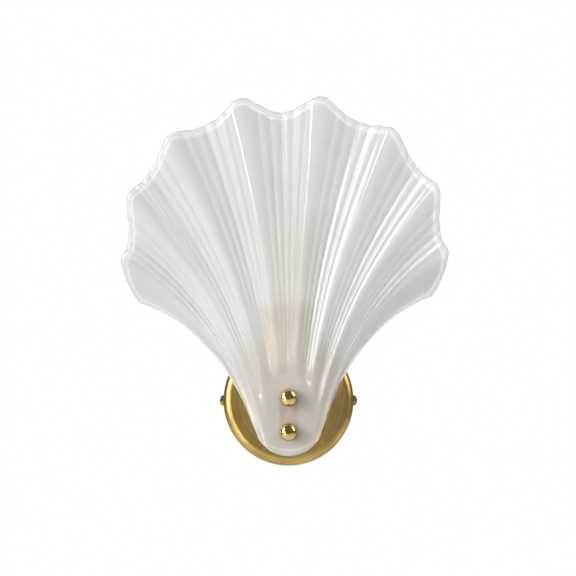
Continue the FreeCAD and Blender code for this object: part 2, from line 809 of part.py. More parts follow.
def front_face(shape, across, along, rib_share=1):
    """Point of the glass's front face: a cubic path in X and Z, and a depth in Y."""
    start_x, start_z = neck_point(shape, across)
    end_x, end_z = rim_point(shape, across)
    chord = math.hypot(end_x - start_x, end_z - start_z)
    first = START_PULL * chord * (1 - START_PULL_FALL * across ** 2)
    last = END_PULL * chord * (1 + END_PULL_RISE * across ** 2)
    tilt = math.radians(START_TILT * across)
    fan = math.radians(END_TILT * across)
    rest = 1 - along
    shares = (rest ** 3, 3 * along * rest ** 2, 3 * along ** 2 * rest, along ** 3)
    path_x = (start_x, start_x + first * math.sin(tilt), end_x - last * math.sin(fan), end_x)
    path_z = (start_z, start_z + first * math.cos(tilt), end_z - last * math.cos(fan), end_z)
    x = sum(share * spot for share, spot in zip(shares, path_x))
    z = sum(share * spot for share, spot in zip(shares, path_z))

    size = abs(across)
    grown = ease(along / ARCH_FULL_AT)
    arch = shape["neck_arch"] + (shape["rim_arch"] - shape["neck_arch"]) * grown
    arch *= ARCH_ROUND_SHARE * size ** 2 + (1 - ARCH_ROUND_SHARE) * size ** ARCH_EDGE_POWER
    relief = shape["rib_relief_neck"]
    relief += (shape["rib_relief_rim"] - shape["rib_relief_neck"]) * ease(along)
    relief *= rib_share * lobe_height(across) * ease((along - RIB_START) / RIB_FADE)
    forward = shape["rim_forward"] * along ** LEAN_POWER - arch + relief
    # The glass is flat where the clamp holds it: within flat_radius of the line of bolts.
    off_line = math.hypot(x, max(z, -shape["bolt_spacing"] - z, 0.0))
    forward *= ease((off_line - shape["flat_radius"]) / shape["flat_fade"])
    return Vector(x, -shape["glass_from_wall"] - shape["seat_grind"] - forward, z)


def back_face(shape, across, along):
    """Point of the glass's back face, one unground thickness in along the surface's normal.

    The ribs are close together at the neck and an even wall would fold there, so the back carries
    only a share of them, which grows to the whole at the rim. The crests are thicker for it.
    """
    step = 0.001
    share = along ** BACK_RIB_POWER
    low_u, high_u = max(-1.0, across - step), min(1.0, across + step)
    low_v, high_v = max(0.0, along - step), min(1.0, along + step)
    cross_way = front_face(shape, high_u, along, share) - front_face(shape, low_u, along, share)
    long_way = front_face(shape, across, high_v, share) - front_face(shape, across, low_v, share)
    inward = long_way.cross(cross_way).normalize()
    thickness = shape["glass_thickness"] + 2 * shape["seat_grind"]
    return front_face(shape, across, along, share) + inward * thickness


def curve_through(points, parameters):
    curve = Part.BSplineCurve()
    curve.interpolate(Points=points, Parameters=parameters)
    return curve


def face_through(surface_point, shape, spread, climb):
    """Smooth face whose own two parameters are u and v: curves along v, then curves across u."""
    along = [curve_through([surface_point(shape, u, v) for v in climb], climb) for u in spread]
    poles = zip(*[curve.getPoles() for curve in along])
    across = [curve_through(list(row), spread) for row in poles]
    grid = [list(row) for row in zip(*[curve.getPoles() for curve in across])]
    first, other = across[0], along[0]
    surface = Part.BSplineSurface()
    surface.buildFromPolesMultsKnots(
        grid, first.getMultiplicities(), other.getMultiplicities(),
        first.getKnots(), other.getKnots(), False, False, first.Degree, other.Degree)
    return surface


def side_wall(outer, inner):
    """Ruled strip between the same border of the two faces."""
    return Part.makeRuledSurface(outer.toShape(), inner.toShape())


def clamp_cuts():
    """What is ground out of the glass: two holes, a flat behind each washer, one for the pad."""
    length = value("glass_from_wall")
    toward_wall = Vector(0, 1, 0)
    margin = value("seat_margin")
    cuts = []
    for name, level in BOLT_LEVELS:
        start = Vector(0, -2 * length, value(level))
        hole_radius = value("sleeve_radius + glass_hole_gap")
        cuts.append(Part.makeCylinder(hole_radius, 2 * length, start, toward_wall))
        seat_radius = value("front_washer_diameter / 2") + margin
        cuts.append(Part.makeCylinder(seat_radius, length, start, toward_wall))
    width = value("pad_width") + 2 * margin
    height = value("bolt_spacing + 2 * pad_overhang") + 2 * margin
    thickness = value("glass_thickness")
    corner = Vector(-width / 2, thickness - length, -value("bolt_spacing + pad_overhang") - margin)
    cuts.append(Part.makeBox(width, thickness, height, corner))
    return cuts


def make_shade():
    names = [name for name in SIZES if name.startswith(("neck_", "rim_", "shoulder_", "fan_",
                                                       "scallop_", "corner_", "rib_", "flat_"))]
    names += ["flat_radius", "glass_from_wall", "glass_thickness", "bolt_spacing", "seat_grind"]
    shape = {name: value(name) for name in names}
    spread = [-1 + 2 * number / STEPS_ACROSS for number in range(STEPS_ACROSS + 1)]
    climb = [(number / STEPS_ALONG) ** STEP_CROWDING for number in range(STEPS_ALONG + 1)]
    front = face_through(front_face, shape, spread, climb)
    back = face_through(back_face, shape, spread, climb)
    first_u, last_u, first_v, last_v = front.bounds()
    faces = [front.toShape(), back.toShape()]
    for end in (first_u, last_u):
        faces.append(side_wall(front.uIso(end), back.uIso(end)))
    for end in (first_v, last_v):
        faces.append(side_wall(front.vIso(end), back.vIso(end)))
    shell = Part.Shell(faces)
    shell.sewShape()
    solid = Part.Solid(shell)
    if solid.Volume < 0:
        solid.reverse()
    for tool in clamp_cuts():
        solid = solid.cut(tool)
    shade = doc.addObject("Part::Feature", "glass_shade")
    shade.Shape = solid
    # The glass sits a little off plumb, turned about the middle of the two bolts.
    middle = Vector(0, 0, -value("bolt_spacing") / 2)
    shade.Placement = Placement(Vector(0, 0, 0), Rotation(Vector(0, 1, 0), -value("lean_angle")), middle)
    return seen(shade, "glass_shade")


# Lampholder: a brass cup on the shelf, a brass sleeve on it, and the insulated screw socket inside.

def make_holder():
    here = {"y": "-lamp_from_wall"}
    seen(ring("holder_nipple", "Z", "nipple_diameter", "holder_nipple_bore",
              "shelf_under - holder_nipple_below", "shelf_level + holder_nipple_above", **here),
         "holder_nipple")
    hex_nut("holder_lock_nut", "shelf_under - nut_thickness", "nut_thickness", "nipple_diameter",
            along_y=False, **here)
    outer = "holder_diameter / 2"
    inner = "holder_diameter / 2 - holder_wall"
    boss = "cup_boss_diameter / 2"
    hole = "nipple_diameter / 2"
    cup = turned("holder_cup", "Z", [
        (hole, "shelf_level"), (outer, "shelf_level"), (outer, "cup_top"), (inner, "cup_top"),
        (inner, "shelf_level + holder_wall"), (boss, "shelf_level + holder_wall"),
        (boss, "shelf_level + holder_nipple_above"), (hole, "shelf_level + holder_nipple_above")],
        **here)
    round_off(cup, "cup_round", lambda edge: circle_at(edge, outer, "Z", "shelf_level"))
    round_off(cup, "cup_round - holder_wall",
              lambda edge: circle_at(edge, inner, "Z", "shelf_level + holder_wall"))
    seen(cup, "holder_cup")
    top = "cup_top + sleeve_height"
    sleeve = turned("holder_sleeve", "Z", [
        (inner, "cup_top"), (outer, "cup_top"), (outer, top + " - 2 * sleeve_bead"),
        (outer + " + sleeve_bead", top + " - 2 * sleeve_bead"), (outer + " + sleeve_bead", top),
        (inner, top)], **here)
    seen(sleeve, "holder_sleeve")
    core_edge = "core_diameter / 2"
    core_hole = "shell_bore / 2 + shell_wall"
    core = turned("holder_core", "Z", [
        ("0", "core_bottom"), (core_edge, "core_bottom"), (core_edge, "cup_top"),
        (inner, "cup_top"), (inner, "cup_top + core_collar"), (core_edge, "cup_top + core_collar"),
        (core_edge, "core_top"), (core_hole, "core_top"), (core_hole, "shell_bottom"),
        ("0", "shell_bottom")], **here)
    seen(core, "holder_core")
    bore = "shell_bore / 2"
    shell = turned("screw_shell", "Z", [
        ("shell_bore / 2 - shell_lip", "shell_bottom"), (core_hole, "shell_bottom"),
        (core_hole, "shell_bottom + shell_height"), (bore, "shell_bottom + shell_height"),
        (bore, "shell_bottom + shell_wall"),
        ("shell_bore / 2 - shell_lip", "shell_bottom + shell_wall")], **here)
    seen(shell, "screw_shell")
    make_contact()


def make_contact():
    """Centre contact: a brass strip bent into a low bridge that the bulb's tip presses on."""
    body = new_body("centre_contact")
    sketch = new_sketch(body, "XZ_Plane")
    half = "contact_width / 2"
    foot = "contact_width"
    thick = "contact_thickness"
    base = "shell_bottom"
    top = "shell_bottom + contact_rise"
    draw_outline(sketch, [
        ("-(%s)" % foot, base), ("-(%s) + %s" % (half, thick), base),
        ("-(%s) + %s" % (half, thick), top), ("%s - %s" % (half, thick), top),
        ("%s - %s" % (half, thick), base), (foot, base), (foot, "%s + %s" % (base, thick)),
        (half, "%s + %s" % (base, thick)), (half, "%s + %s" % (top, thick)),
        ("-(%s)" % half, "%s + %s" % (top, thick)), ("-(%s)" % half, "%s + %s" % (base, thick)),
        ("-(%s)" % foot, "%s + %s" % (base, thick))])
    pad(body, sketch, "contact_width", symmetric=True)
    place(body, "0", "-lamp_from_wall", "0")
    return seen(body, "centre_contact")


# Bulb: screw cap, insulator, tip, glass globe, and the stem and filament inside it.

def make_bulb():
    here = {"y": "-lamp_from_wall"}
    tip = "tip_diameter / 2"
    end = "insulator_end_diameter / 2"
    seen(turned("bulb_tip", "Z", [
        ("0", "tip_level"), ("tip_end_diameter / 2", "tip_level"),
        (tip, "tip_level + tip_height"), ("0", "tip_level + tip_height")], **here), "bulb_tip")
    rim = "cap_radius - cap_thread_depth"
    seen(turned("bulb_insulator", "Z", [
        ("0", "tip_level + tip_height"), (end, "tip_level + tip_height"), (rim, "cap_bottom"),
        ("0", "cap_bottom")], **here), "bulb_insulator")
    seen(make_bulb_cap(here), "bulb_cap")
    make_globe()
    seat = "cap_bottom"
    stem = turned("bulb_stem", "Z", [
        ("0", seat), (rim + " - cap_wall", seat), (rim + " - cap_wall", seat + " + stem_foot"),
        ("stem_diameter / 2", seat + " + stem_flare"),
        ("stem_head_diameter / 2", seat + " + stem_height"),
        ("0", seat + " + stem_height")], **here)
    seen(stem, "bulb_stem")
    make_filament()


CAP_TURNS = 4
# One turn of the cap's thread: a share of the pitch, and whether it lies at the crest.
THREAD_STEPS = ((0.3, False), (0.55, True), (0.85, True), (1.1, False))


def make_bulb_cap(here):
    """Thin brass shell whose outside carries rounded thread crests, drawn as rings."""
    root = "cap_radius - cap_thread_depth"
    corners = [(root + " - cap_wall", "cap_bottom"), (root, "cap_bottom")]
    for turn in range(CAP_TURNS):
        for share, on_crest in THREAD_STEPS:
            level = "cap_bottom + %g * cap_thread_pitch" % (turn + share)
            corners.append(("cap_radius" if on_crest else root, level))
    corners += [(root, "cap_top"), (root + " - cap_wall", "cap_top")]
    return turned("bulb_cap", "Z", corners, **here)


def make_globe():
    """Hollow globe whose neck runs in an arc down to the cap."""
    radius = value("globe_radius")
    wall = value("globe_wall")
    neck = value("globe_neck_diameter") / 2
    bottom = value("cap_top")
    centre = value("globe_level")
    # The throat arc is tangent to the globe and ends upright at the neck.
    drop = centre - bottom
    throat = (drop ** 2 + neck ** 2 - radius ** 2) / (2 * (radius - neck))
    join = radius / (radius + throat)
    meet_r = (neck + throat) * join
    meet_z = centre - drop * join
    middle_turn = 0.5 * math.atan2(drop, neck + throat)
    mid_r = neck + throat - throat * math.cos(middle_turn)
    mid_z = bottom + throat * math.sin(middle_turn)

    def outline(inset):
        """Half section of a ball and throat, all moved in by inset."""
        lower = Part.Arc(Vector(neck - inset, 0, bottom),
                         Vector(mid_r - inset * math.cos(middle_turn), 0,
                                mid_z + inset * math.sin(middle_turn)),
                         Vector(meet_r * (radius - inset) / radius, 0,
                                centre - drop * join * (radius - inset) / radius))
        upper = Part.Arc(Vector(meet_r * (radius - inset) / radius, 0,
                                centre - drop * join * (radius - inset) / radius),
                         Vector(radius - inset, 0, centre), Vector(0, 0, centre + radius - inset))
        axis = Part.LineSegment(Vector(0, 0, centre + radius - inset), Vector(0, 0, bottom))
        base = Part.LineSegment(Vector(0, 0, bottom), Vector(neck - inset, 0, bottom))
        wire = Part.Wire([lower.toShape(), upper.toShape(), axis.toShape(), base.toShape()])
        return Part.Face(wire).revolve(Vector(0, 0, 0), Vector(0, 0, 1), 360)

    globe = doc.addObject("Part::Feature", "bulb_glass")
    globe.Shape = outline(0).cut(outline(wall))
    globe.Placement = Placement(Vector(0, -value("lamp_from_wall"), 0), Rotation())
    return seen(globe, "bulb_glass")


def make_filament():
    """Coiled wire drawn as a rod bent once over the stem's head, with a leg down each side."""
    half = value("filament_width") / 2
    radius = value("filament_diameter") / 2
    top = value("cap_bottom + stem_height") + radius
    foot = top - value("filament_leg")
    shoulder = top - value("filament_shoulder")
    beside = value("stem_diameter") / 2
    points = [Vector(-beside, 0, foot), Vector(-half, 0, shoulder),
              Vector(0, 0, top + value("filament_rise")),
              Vector(half, 0, shoulder), Vector(beside, 0, foot)]
    arch = doc.addObject("Part::Feature", "bulb_filament")
    arch.Shape = tube_along(points, radius, [value("filament_bend")] * 3)
    arch.Placement = Placement(Vector(0, -value("lamp_from_wall"), 0), Rotation())
    return seen(arch, "bulb_filament")


# Leads: straight runs joined by tangent arcs, swept with a round section.

def tube_along(points, radius, bends):
    """Tube through the points, with an arc of the given radius at each inner one."""
    edges = []
    start = points[0]
    for index, bend in enumerate(bends, start=1):
        corner = points[index]
        back = (points[index - 1] - corner).normalize()
        onward = (points[index + 1] - corner).normalize()
        half_turn = (math.pi - back.getAngle(onward)) / 2
        trim = bend * math.tan(half_turn)
        inward = (back + onward).normalize()
        centre_gap = bend / math.cos(half_turn)
        middle = corner + inward * (centre_gap - bend)
        entry = corner + back * trim
        leave = corner + onward * trim
        edges.append(Part.LineSegment(start, entry).toShape())
        edges.append(Part.Arc(entry, middle, leave).toShape())
        start = leave
    edges.append(Part.LineSegment(start, points[-1]).toShape())
    path = Part.Wire(edges)
    direction = (points[1] - points[0]).normalize()
    section = Part.Wire([Part.makeCircle(radius, points[0], direction)])
    tube = path.makePipeShell([section], True, False)
    expected = math.pi * radius ** 2 * path.Length
    print("tube: radii", bends, "volume ratio %.4f" % (tube.Volume / expected))
    return tube


def make_leads():
    """Live and neutral run from the terminals through both nipples; earth runs to the strap."""
    radius = value("lead_diameter") / 2
    pitch = value("way_pitch")
    ways_y = -value("way_from_wall")
    clamp = value("block_bottom + lead_in_block")
    below = value("block_bottom - lead_below_block")
    lamp_y = -value("lamp_from_wall")
    apart = value("lead_spacing") / 2
    holder = value("shelf_level + holder_nipple_above + lead_end")
    turn = value("lead_turn")
    bend = value("lead_bend")
    deep = -value("strap_thickness + lead_off_strap")
    routes = {
        "live_lead": [Vector(-pitch, ways_y, clamp), Vector(-pitch, ways_y, below),
                      Vector(-apart, deep, 0), Vector(-apart, lamp_y, 0),
                      Vector(-apart, lamp_y, holder)],
        "neutral_lead": [Vector(0, ways_y, clamp), Vector(0, ways_y, below),
                         Vector(apart, deep, 0), Vector(apart, lamp_y, 0),
                         Vector(apart, lamp_y, holder)],
    }
    for label, points in routes.items():
        lead = doc.addObject("Part::Feature", label)
        lead.Shape = tube_along(points, radius, [turn, turn, bend])
        seen(lead, label)
    earth_x = value("earth_screw_from_centre")
    tag_y = -value("strap_thickness + earth_tag_thickness / 2")
    tag_edge = value("earth_tag_diameter / 2 + earth_lead_gap")
    lifted = tag_y - value("earth_lead_lift")
    earth = doc.addObject("Part::Feature", "earth_lead")
    points = [Vector(pitch, ways_y, clamp), Vector(pitch, ways_y, below),
              Vector(earth_x, lifted, tag_edge + value("earth_lead_run")),
              Vector(earth_x, tag_y - radius, tag_edge)]
    earth.Shape = tube_along(points, radius, [turn, value("earth_lead_turn")])
    seen(earth, "earth_lead")


def check_model():
    """Stop if any object failed, or any finished shape is empty or not valid."""
    doc.recompute()
    for thing in doc.Objects:
        if any(word in thing.State for word in ("Invalid", "Error")):
            raise RuntimeError(thing.Name + " failed: " + str(thing.State))
    for thing in finished:
        if thing.Shape.isNull() or not thing.Shape.isValid() or not thing.Shape.Solids:
            raise RuntimeError(thing.Label + " has no valid solid")


def write_parts():
    os.makedirs("parts", exist_ok=True)
    for thing in finished:
        thing.Shape.exportStep("parts/%s.step" % thing.Label)
        box = thing.Shape.BoundBox
        print("%-22s %8.1f mm3  x %.1f..%.1f  y %.1f..%.1f  z %.1f..%.1f" % (
            thing.Label, thing.Shape.Volume, box.XMin, box.XMax, box.YMin, box.YMax,
            box.ZMin, box.ZMax))


make_canopy()
make_seal()
make_strap()
make_side_screw("side_screw_left", -1)
make_side_screw("side_screw_right", 1)
make_earth_terminal()
make_entry()
make_terminals()
make_bracket()
make_pad()
make_bolts()
make_clamp_rings()
make_cap_nuts()
make_shade()
make_holder()
make_bulb()
make_leads()
check_model()
write_parts()
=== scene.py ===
# %% [markdown]
# # A pressed glass shell on a round brass canopy
# The real lamp is a wall sconce. A spun brass canopy holds a folded bracket, two bolts with domed
# nuts clamp a ribbed glass shell to it, and a pale bulb stands behind the glass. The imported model
# gives every part its place, in metres, with Z up and the wall behind at Y = 0. It could all be
# dressed with materials alone, but the glass has finer reeds than the solid, so this script keeps
# the model as a fixed frame, rebuilds what the eye rests on and gives each part its finish.

import json

import bpy
import numpy as np
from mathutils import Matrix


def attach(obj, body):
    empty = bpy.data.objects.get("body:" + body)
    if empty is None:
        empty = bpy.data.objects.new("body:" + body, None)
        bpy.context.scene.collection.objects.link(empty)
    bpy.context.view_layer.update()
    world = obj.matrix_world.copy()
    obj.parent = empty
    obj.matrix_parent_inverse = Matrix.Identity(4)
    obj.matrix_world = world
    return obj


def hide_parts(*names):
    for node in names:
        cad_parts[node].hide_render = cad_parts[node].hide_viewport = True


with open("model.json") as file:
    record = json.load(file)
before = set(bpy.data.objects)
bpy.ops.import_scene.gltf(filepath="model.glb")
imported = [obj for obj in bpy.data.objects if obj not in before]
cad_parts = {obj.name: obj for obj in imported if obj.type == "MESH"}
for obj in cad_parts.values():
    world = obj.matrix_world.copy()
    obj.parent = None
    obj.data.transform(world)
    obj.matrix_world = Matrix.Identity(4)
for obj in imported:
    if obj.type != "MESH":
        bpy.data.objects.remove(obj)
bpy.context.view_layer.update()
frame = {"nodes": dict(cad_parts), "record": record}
nodes = frame["nodes"]

# %% [markdown]
# ## The camera
# The lamp was seen from straight in front and a little from below, from far enough away that its
# sides hardly converge. A long lens on a camera 2.5 m away gives that view. The lens could be
# guessed by eye, but it follows from the size of the picture: 0.76 mm of lamp to each pixel.

# %% Place the camera
MM = 0.001
PIXELS = 576
MM_PER_PIXEL = 0.7642
CAMERA_DISTANCE = 2500
CAMERA_ELEVATION = np.radians(-4)
LOOK_AT = np.array([-0.4, -40, 85])

camera_data = bpy.data.cameras.new("camera")
camera_data.sensor_width = 36
camera_data.lens = camera_data.sensor_width * CAMERA_DISTANCE / (PIXELS * MM_PER_PIXEL)
camera_data.clip_end = 50
camera = bpy.data.objects.new("camera", camera_data)
bpy.context.scene.collection.objects.link(camera)
toward_camera = np.array([0, -np.cos(CAMERA_ELEVATION), np.sin(CAMERA_ELEVATION)])
camera.location = (LOOK_AT + CAMERA_DISTANCE * toward_camera) * MM
camera.rotation_euler = (np.pi / 2 - CAMERA_ELEVATION, 0, 0)
bpy.context.scene.camera = camera
print("lens %.1f mm" % camera_data.lens)

# %% [markdown]
# ## From numbers to a mesh
# A surface is a grid of points worked out with numpy. Each square between four neighbouring points
# becomes a face. Points that fall on each other, such as a dome's pole or the seam of a turned
# shape, are merged, and then all faces are made to look outwards.

# %% Make a piece from a grid
import bmesh

MERGE_WITHIN = 1e-7


def grid_faces(rows, columns):
    """Squares of a grid whose points are numbered row by row."""
    number = np.arange(rows * columns).reshape(rows, columns)
    corners = (number[:-1, :-1], number[:-1, 1:], number[1:, 1:], number[1:, :-1])
    return np.stack([corner.ravel() for corner in corners], axis=1)


def make_piece(name, points, faces, node, body="fixture", marks=None):
    """A smooth closed piece from points in millimetres; it stands for a node, which it hides.

    Marks are attributes that its material reads: a name, and one value for each point.
    """
    mesh = bpy.data.meshes.new(name)
    mesh.from_pydata((points.reshape(-1, 3) * MM).tolist(), [], faces.tolist())
    for mark, values in (marks or {}).items():
        mesh.attributes.new(mark, "FLOAT", "POINT").data.foreach_set("value", values.ravel())
    work = bmesh.new()
    work.from_mesh(mesh)
    bmesh.ops.remove_doubles(work, verts=work.verts, dist=MERGE_WITHIN)
    bmesh.ops.recalc_face_normals(work, faces=work.faces)
    work.to_mesh(mesh)
    work.free()
    mesh.shade_smooth()
    piece = bpy.data.objects.new(name, mesh)
    bpy.context.scene.collection.objects.link(piece)
    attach(piece, body)
    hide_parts(node)
    print(name, len(mesh.polygons), "faces")
    return piece


slot_of = {part["node"]: part["material_slot"] for part in frame["record"]["subparts"]}

# %% [markdown]
# ## The glass shell: its flowing form
# The shell is pressed in a mould: eight broad ribs run from the clamp up to the scalloped rim, the
# top leans out and the two sides turn back to the wall. It could be sculpted, but the ribs and
# scallops repeat, so one formula in two parameters gives them all: u runs across the fan from -1 to
# 1, v runs along the ribs from the bottom of the neck, 0, to the rim, 1.

# %% The shell's formula
LOBES = 8
PERIOD = 2 / LOBES
LAST_CREST = 1 - PERIOD / 2
NECK_SWEEP, NECK_HALF_WIDTH, NECK_DEPTH, NECK_LEVEL = 58, 27.7, 26.2, -17.6
RIM_REACH, SHOULDER_DROP, SHOULDER_ANGLE, RIM_POWER = 224.5, 63.7, 50, 2.24
FAN_ANGLE, FAN_BOW = 56.2, 2.5
SCALLOP_MIDDLE, SCALLOP_FALL, SCALLOP_RETURN, TIP_SHARPNESS = 13.5, -26, 25, 1.36
CORNER_DROP, CORNER_POWER = 8, 3
START_TILT, END_TILT = 20, 70.4
FIRST_REACH, FIRST_TAPER, LAST_REACH, LAST_SPREAD = 0.39, 0.6, 0.43, 0.16


def ease(amount):
    """Smooth step: 0 below 0, 1 above 1, level at both ends."""
    amount = np.clip(amount, 0, 1)
    return amount * amount * (3 - 2 * amount)


def lobe_height(u):
    """0 in a valley and 1 on the crest of a broad rib."""
    return 0.5 - 0.5 * np.cos(LOBES * np.pi * u)


def outline_path(u, v, notch):
    """Place in X and Z: a cubic curve from an arc under the bolts to the scalloped rim.

    The rim's distance from the origin falls to the shoulders as a power of the angle, and dips in
    each valley between two ribs. The notch is cut off it where two reeds meet.
    """
    turn = np.radians(NECK_SWEEP * u)
    start_x, start_z = NECK_HALF_WIDTH * np.sin(turn), NECK_LEVEL - NECK_DEPTH * np.cos(turn)
    size = np.abs(u)
    degrees = FAN_ANGLE * u + FAN_BOW * np.sin(np.pi * u)
    valley = np.where(size > LAST_CREST, 0, 1 - lobe_height(u) ** TIP_SHARPNESS)
    reach = RIM_REACH - SHOULDER_DROP * (np.abs(degrees) / SHOULDER_ANGLE) ** RIM_POWER
    reach -= (SCALLOP_MIDDLE + SCALLOP_FALL * size + SCALLOP_RETURN * size ** 2) * valley
    reach -= CORNER_DROP * np.maximum(0, (size - LAST_CREST) / (1 - LAST_CREST)) ** CORNER_POWER
    reach -= notch
    end_x, end_z = reach * np.sin(np.radians(degrees)), reach * np.cos(np.radians(degrees))
    chord = np.hypot(end_x - start_x, end_z - start_z)
    first = FIRST_REACH * chord * (1 - FIRST_TAPER * u ** 2)
    last = LAST_REACH * chord * (1 + LAST_SPREAD * u ** 2)
    tilt, fan = np.radians(START_TILT * u), np.radians(END_TILT * u)
    rest = 1 - v
    shares = rest ** 3, 3 * v * rest ** 2, 3 * v ** 2 * rest, v ** 3
    ends_x = start_x, start_x + first * np.sin(tilt), end_x - last * np.sin(fan), end_x
    ends_z = start_z, start_z + first * np.cos(tilt), end_z - last * np.cos(fan), end_z
    return (sum(share * end for share, end in zip(shares, ends_x)),
            sum(share * end for share, end in zip(shares, ends_z)))


print("the middle of the rim is %.1f mm above the upper bolt" % outline_path(0, 1, 0)[1])

# %% [markdown]
# ## The glass shell: fine reeds
# Close up, each broad rib has one wide round crest, and four narrow round reeds fill the valley
# beside it, with a sharp groove where two of them meet. They could be a bump in the material, but
# real reeds bend what is seen through the glass, so they are in the mesh. They only cut inwards,
# which keeps the shell within about a tenth of a millimetre of the solid's box.

# %% The reeds
REEDS = 4
REED_WIDTH = PERIOD / 6.5  # the crest takes the width of two and a half reeds
CREST_HALF = PERIOD / 2 - REEDS / 2 * REED_WIDTH


def groove_depth(u):
    """0 on top of a reed and 1 in the groove between two: arches of a sine side by side."""
    from_valley = np.abs((u / PERIOD + 0.5) % 1 - 0.5) * PERIOD
    from_crest = PERIOD / 2 - from_valley
    reed = np.abs(np.sin(np.pi * from_valley / REED_WIDTH))
    crest = np.cos(np.pi / 2 * np.minimum(from_crest / CREST_HALF, 1))
    arch = np.where(from_crest < CREST_HALF, crest, reed)
    return np.where(np.abs(u) > LAST_CREST, 0, 1 - arch)


print("a reed takes %.3f of u, a crest %.3f" % (REED_WIDTH, 2 * CREST_HALF))

# %% [markdown]
# ## The glass shell: its depth
# From the side the glass leans forward and its edges turn back. The ribs stand out from that, and
# near the bolts it is all flat, so that the washers lie well. Waves could be added to a flat sheet
# with modifiers, one after the other, but the reeds have to follow the ribs, so the depth is one sum.

# %% The shell's face
GLASS_FROM_WALL = 70
BOLT_SPACING = 26
RIM_FORWARD, NECK_ARCH, RIM_ARCH, ARCH_FULL_AT, ROUND_SHARE = 40, 6, 55, 0.75, 0.55
RELIEF_NECK, RELIEF_RIM, RIB_START, RIB_FADE = 2, 7.5, 0.06, 0.2
REED_DEPTH, RIM_NOTCH, GROOVE_FROM, GROOVE_FADE = 1.4, 0.9, 0.1, 0.75
FLAT_RADIUS, FLAT_FADE = 9.8, 22


def shell_point(u, v, rib_share=1, reeded=True):
    """A point of the shell's face: the outline path, and a depth in Y.

    Forward of the clamp's plane by the lean, which grows as v squared, less the arch of the sides,
    plus the ribs, less the grooves. It all fades out near the bolts, where the glass is flat.
    """
    groove = groove_depth(u) * ease((v - GROOVE_FROM) / GROOVE_FADE) if reeded else 0 * u
    x, z = outline_path(u, v, RIM_NOTCH * groove)
    size = np.abs(u)
    arch = NECK_ARCH + (RIM_ARCH - NECK_ARCH) * ease(v / ARCH_FULL_AT)
    arch = arch * (ROUND_SHARE * size ** 2 + (1 - ROUND_SHARE) * size ** 6)
    relief = RELIEF_NECK + (RELIEF_RIM - RELIEF_NECK) * ease(v)
    relief = relief * rib_share * lobe_height(u) * ease((v - RIB_START) / RIB_FADE)
    forward = RIM_FORWARD * v ** 2 - arch + relief - REED_DEPTH * groove
    off_line = np.hypot(x, np.maximum(np.maximum(z, -BOLT_SPACING - z), 0))
    forward = forward * ease((off_line - FLAT_RADIUS) / FLAT_FADE)
    return np.stack([x, -GLASS_FROM_WALL - forward, z], axis=-1)


print("the middle of the rim is %.1f mm from the wall" % -shell_point(0, 1)[1])

# %% [markdown]
# ## The glass shell: a net of points
# The formula is worked out on a net of points. An even net would miss the reeds or waste points on
# plain glass, so eight columns go to each reed, and columns and rows crowd together at the border,
# where the edge is round.

# %% Lay out the net
COLUMNS_PER_REED = 8
EDGE_COLUMNS = 24
ROWS = 104


def shell_grid():
    """u and v of the grid: even columns across the ribs, crowded ones at the sides and the ends."""
    per_period = round(PERIOD / REED_WIDTH * COLUMNS_PER_REED)
    middle = np.linspace(-LAST_CREST, LAST_CREST, (LOBES - 1) * per_period + 1)
    quarter = np.sin(np.linspace(0, np.pi / 2, EDGE_COLUMNS + 1))[1:]
    side = LAST_CREST + (1 - LAST_CREST) * quarter
    across = np.concatenate([-side[::-1], middle, side])
    along = np.sin(np.linspace(0, np.pi / 2, ROWS)) ** 2
    return np.broadcast_arrays(across[None, :], along[:, None])


print("a net of", shell_grid()[0].shape, "rows and columns")

# %% [markdown]
# ## The glass shell: thickness and a fire-polished edge
# The back follows the front one thickness in, along the surface's normal. It takes up only part of
# the ribs near the neck, where they stand close together. The edge of such glass is melted round.
# A Bevel modifier would trip over the narrow reeds, so the wall's thickness itself falls to nothing
# at the border, as a half circle does. For that each point has to know how far the border is.

# %% The back and the border
GLASS_THICKNESS = 5
SLOPE_STEP = 1e-3


def slopes(surface, u, v):
    """How far the surface goes for one unit of u, and of v: differences over a small step."""
    low_u, high_u = np.maximum(u - SLOPE_STEP, -1), np.minimum(u + SLOPE_STEP, 1)
    low_v, high_v = np.maximum(v - SLOPE_STEP, 0), np.minimum(v + SLOPE_STEP, 1)
    over_u = (surface(high_u, v) - surface(low_u, v)) / (high_u - low_u)[..., None]
    over_v = (surface(u, high_v) - surface(u, low_v)) / (high_v - low_v)[..., None]
    return over_u, over_v


def length(vectors):
    """Length of each vector, kept as a last axis of one."""
    return np.linalg.norm(vectors, axis=-1, keepdims=True)


def back_point(u, v):
    """One thickness behind a face that carries v squared of the ribs and no reeds."""
    def base(a, b):
        return shell_point(a, b, rib_share=b ** 2, reeded=False)
    over_u, over_v = slopes(base, u, v)
    inward = np.cross(over_v, over_u)
    return base(u, v) + inward / length(inward) * GLASS_THICKNESS


def border_distance(u, v):
    """Distance to the nearest side or end, from how much area the surface has beside its border."""
    over_u, over_v = slopes(lambda a, b: shell_point(a, b, reeded=False), u, v)
    area = length(np.cross(over_u, over_v))[..., 0]
    to_side = (1 - np.abs(u)) * area / length(over_v)[..., 0]
    to_end = np.minimum(v, 1 - v) * area / length(over_u)[..., 0]
    return np.minimum(to_side, to_end)


# %% [markdown]
# ## The glass shell: two faces and their marks
# Front and back now join at the border into one closed mesh, which leans a little to one side, as
# the real one hangs. It also carries marks for its material, which say where the frost, the clear
# band along the border and the line between the two lie; the material paints that line as a bright
# highlight. Three materials on chosen faces could say the same, but they would end in steps, and
# marks can fade.

# %% Build the shell
EDGE_RADIUS = GLASS_THICKNESS / 2
# the line mark is where the material paints its bright highlight
BAND_WIDTH, BAND_FADE, HIGHLIGHT_LINE_WIDTH = 4.2, 0.9, 0.5
SHELL_TILT = -1.35


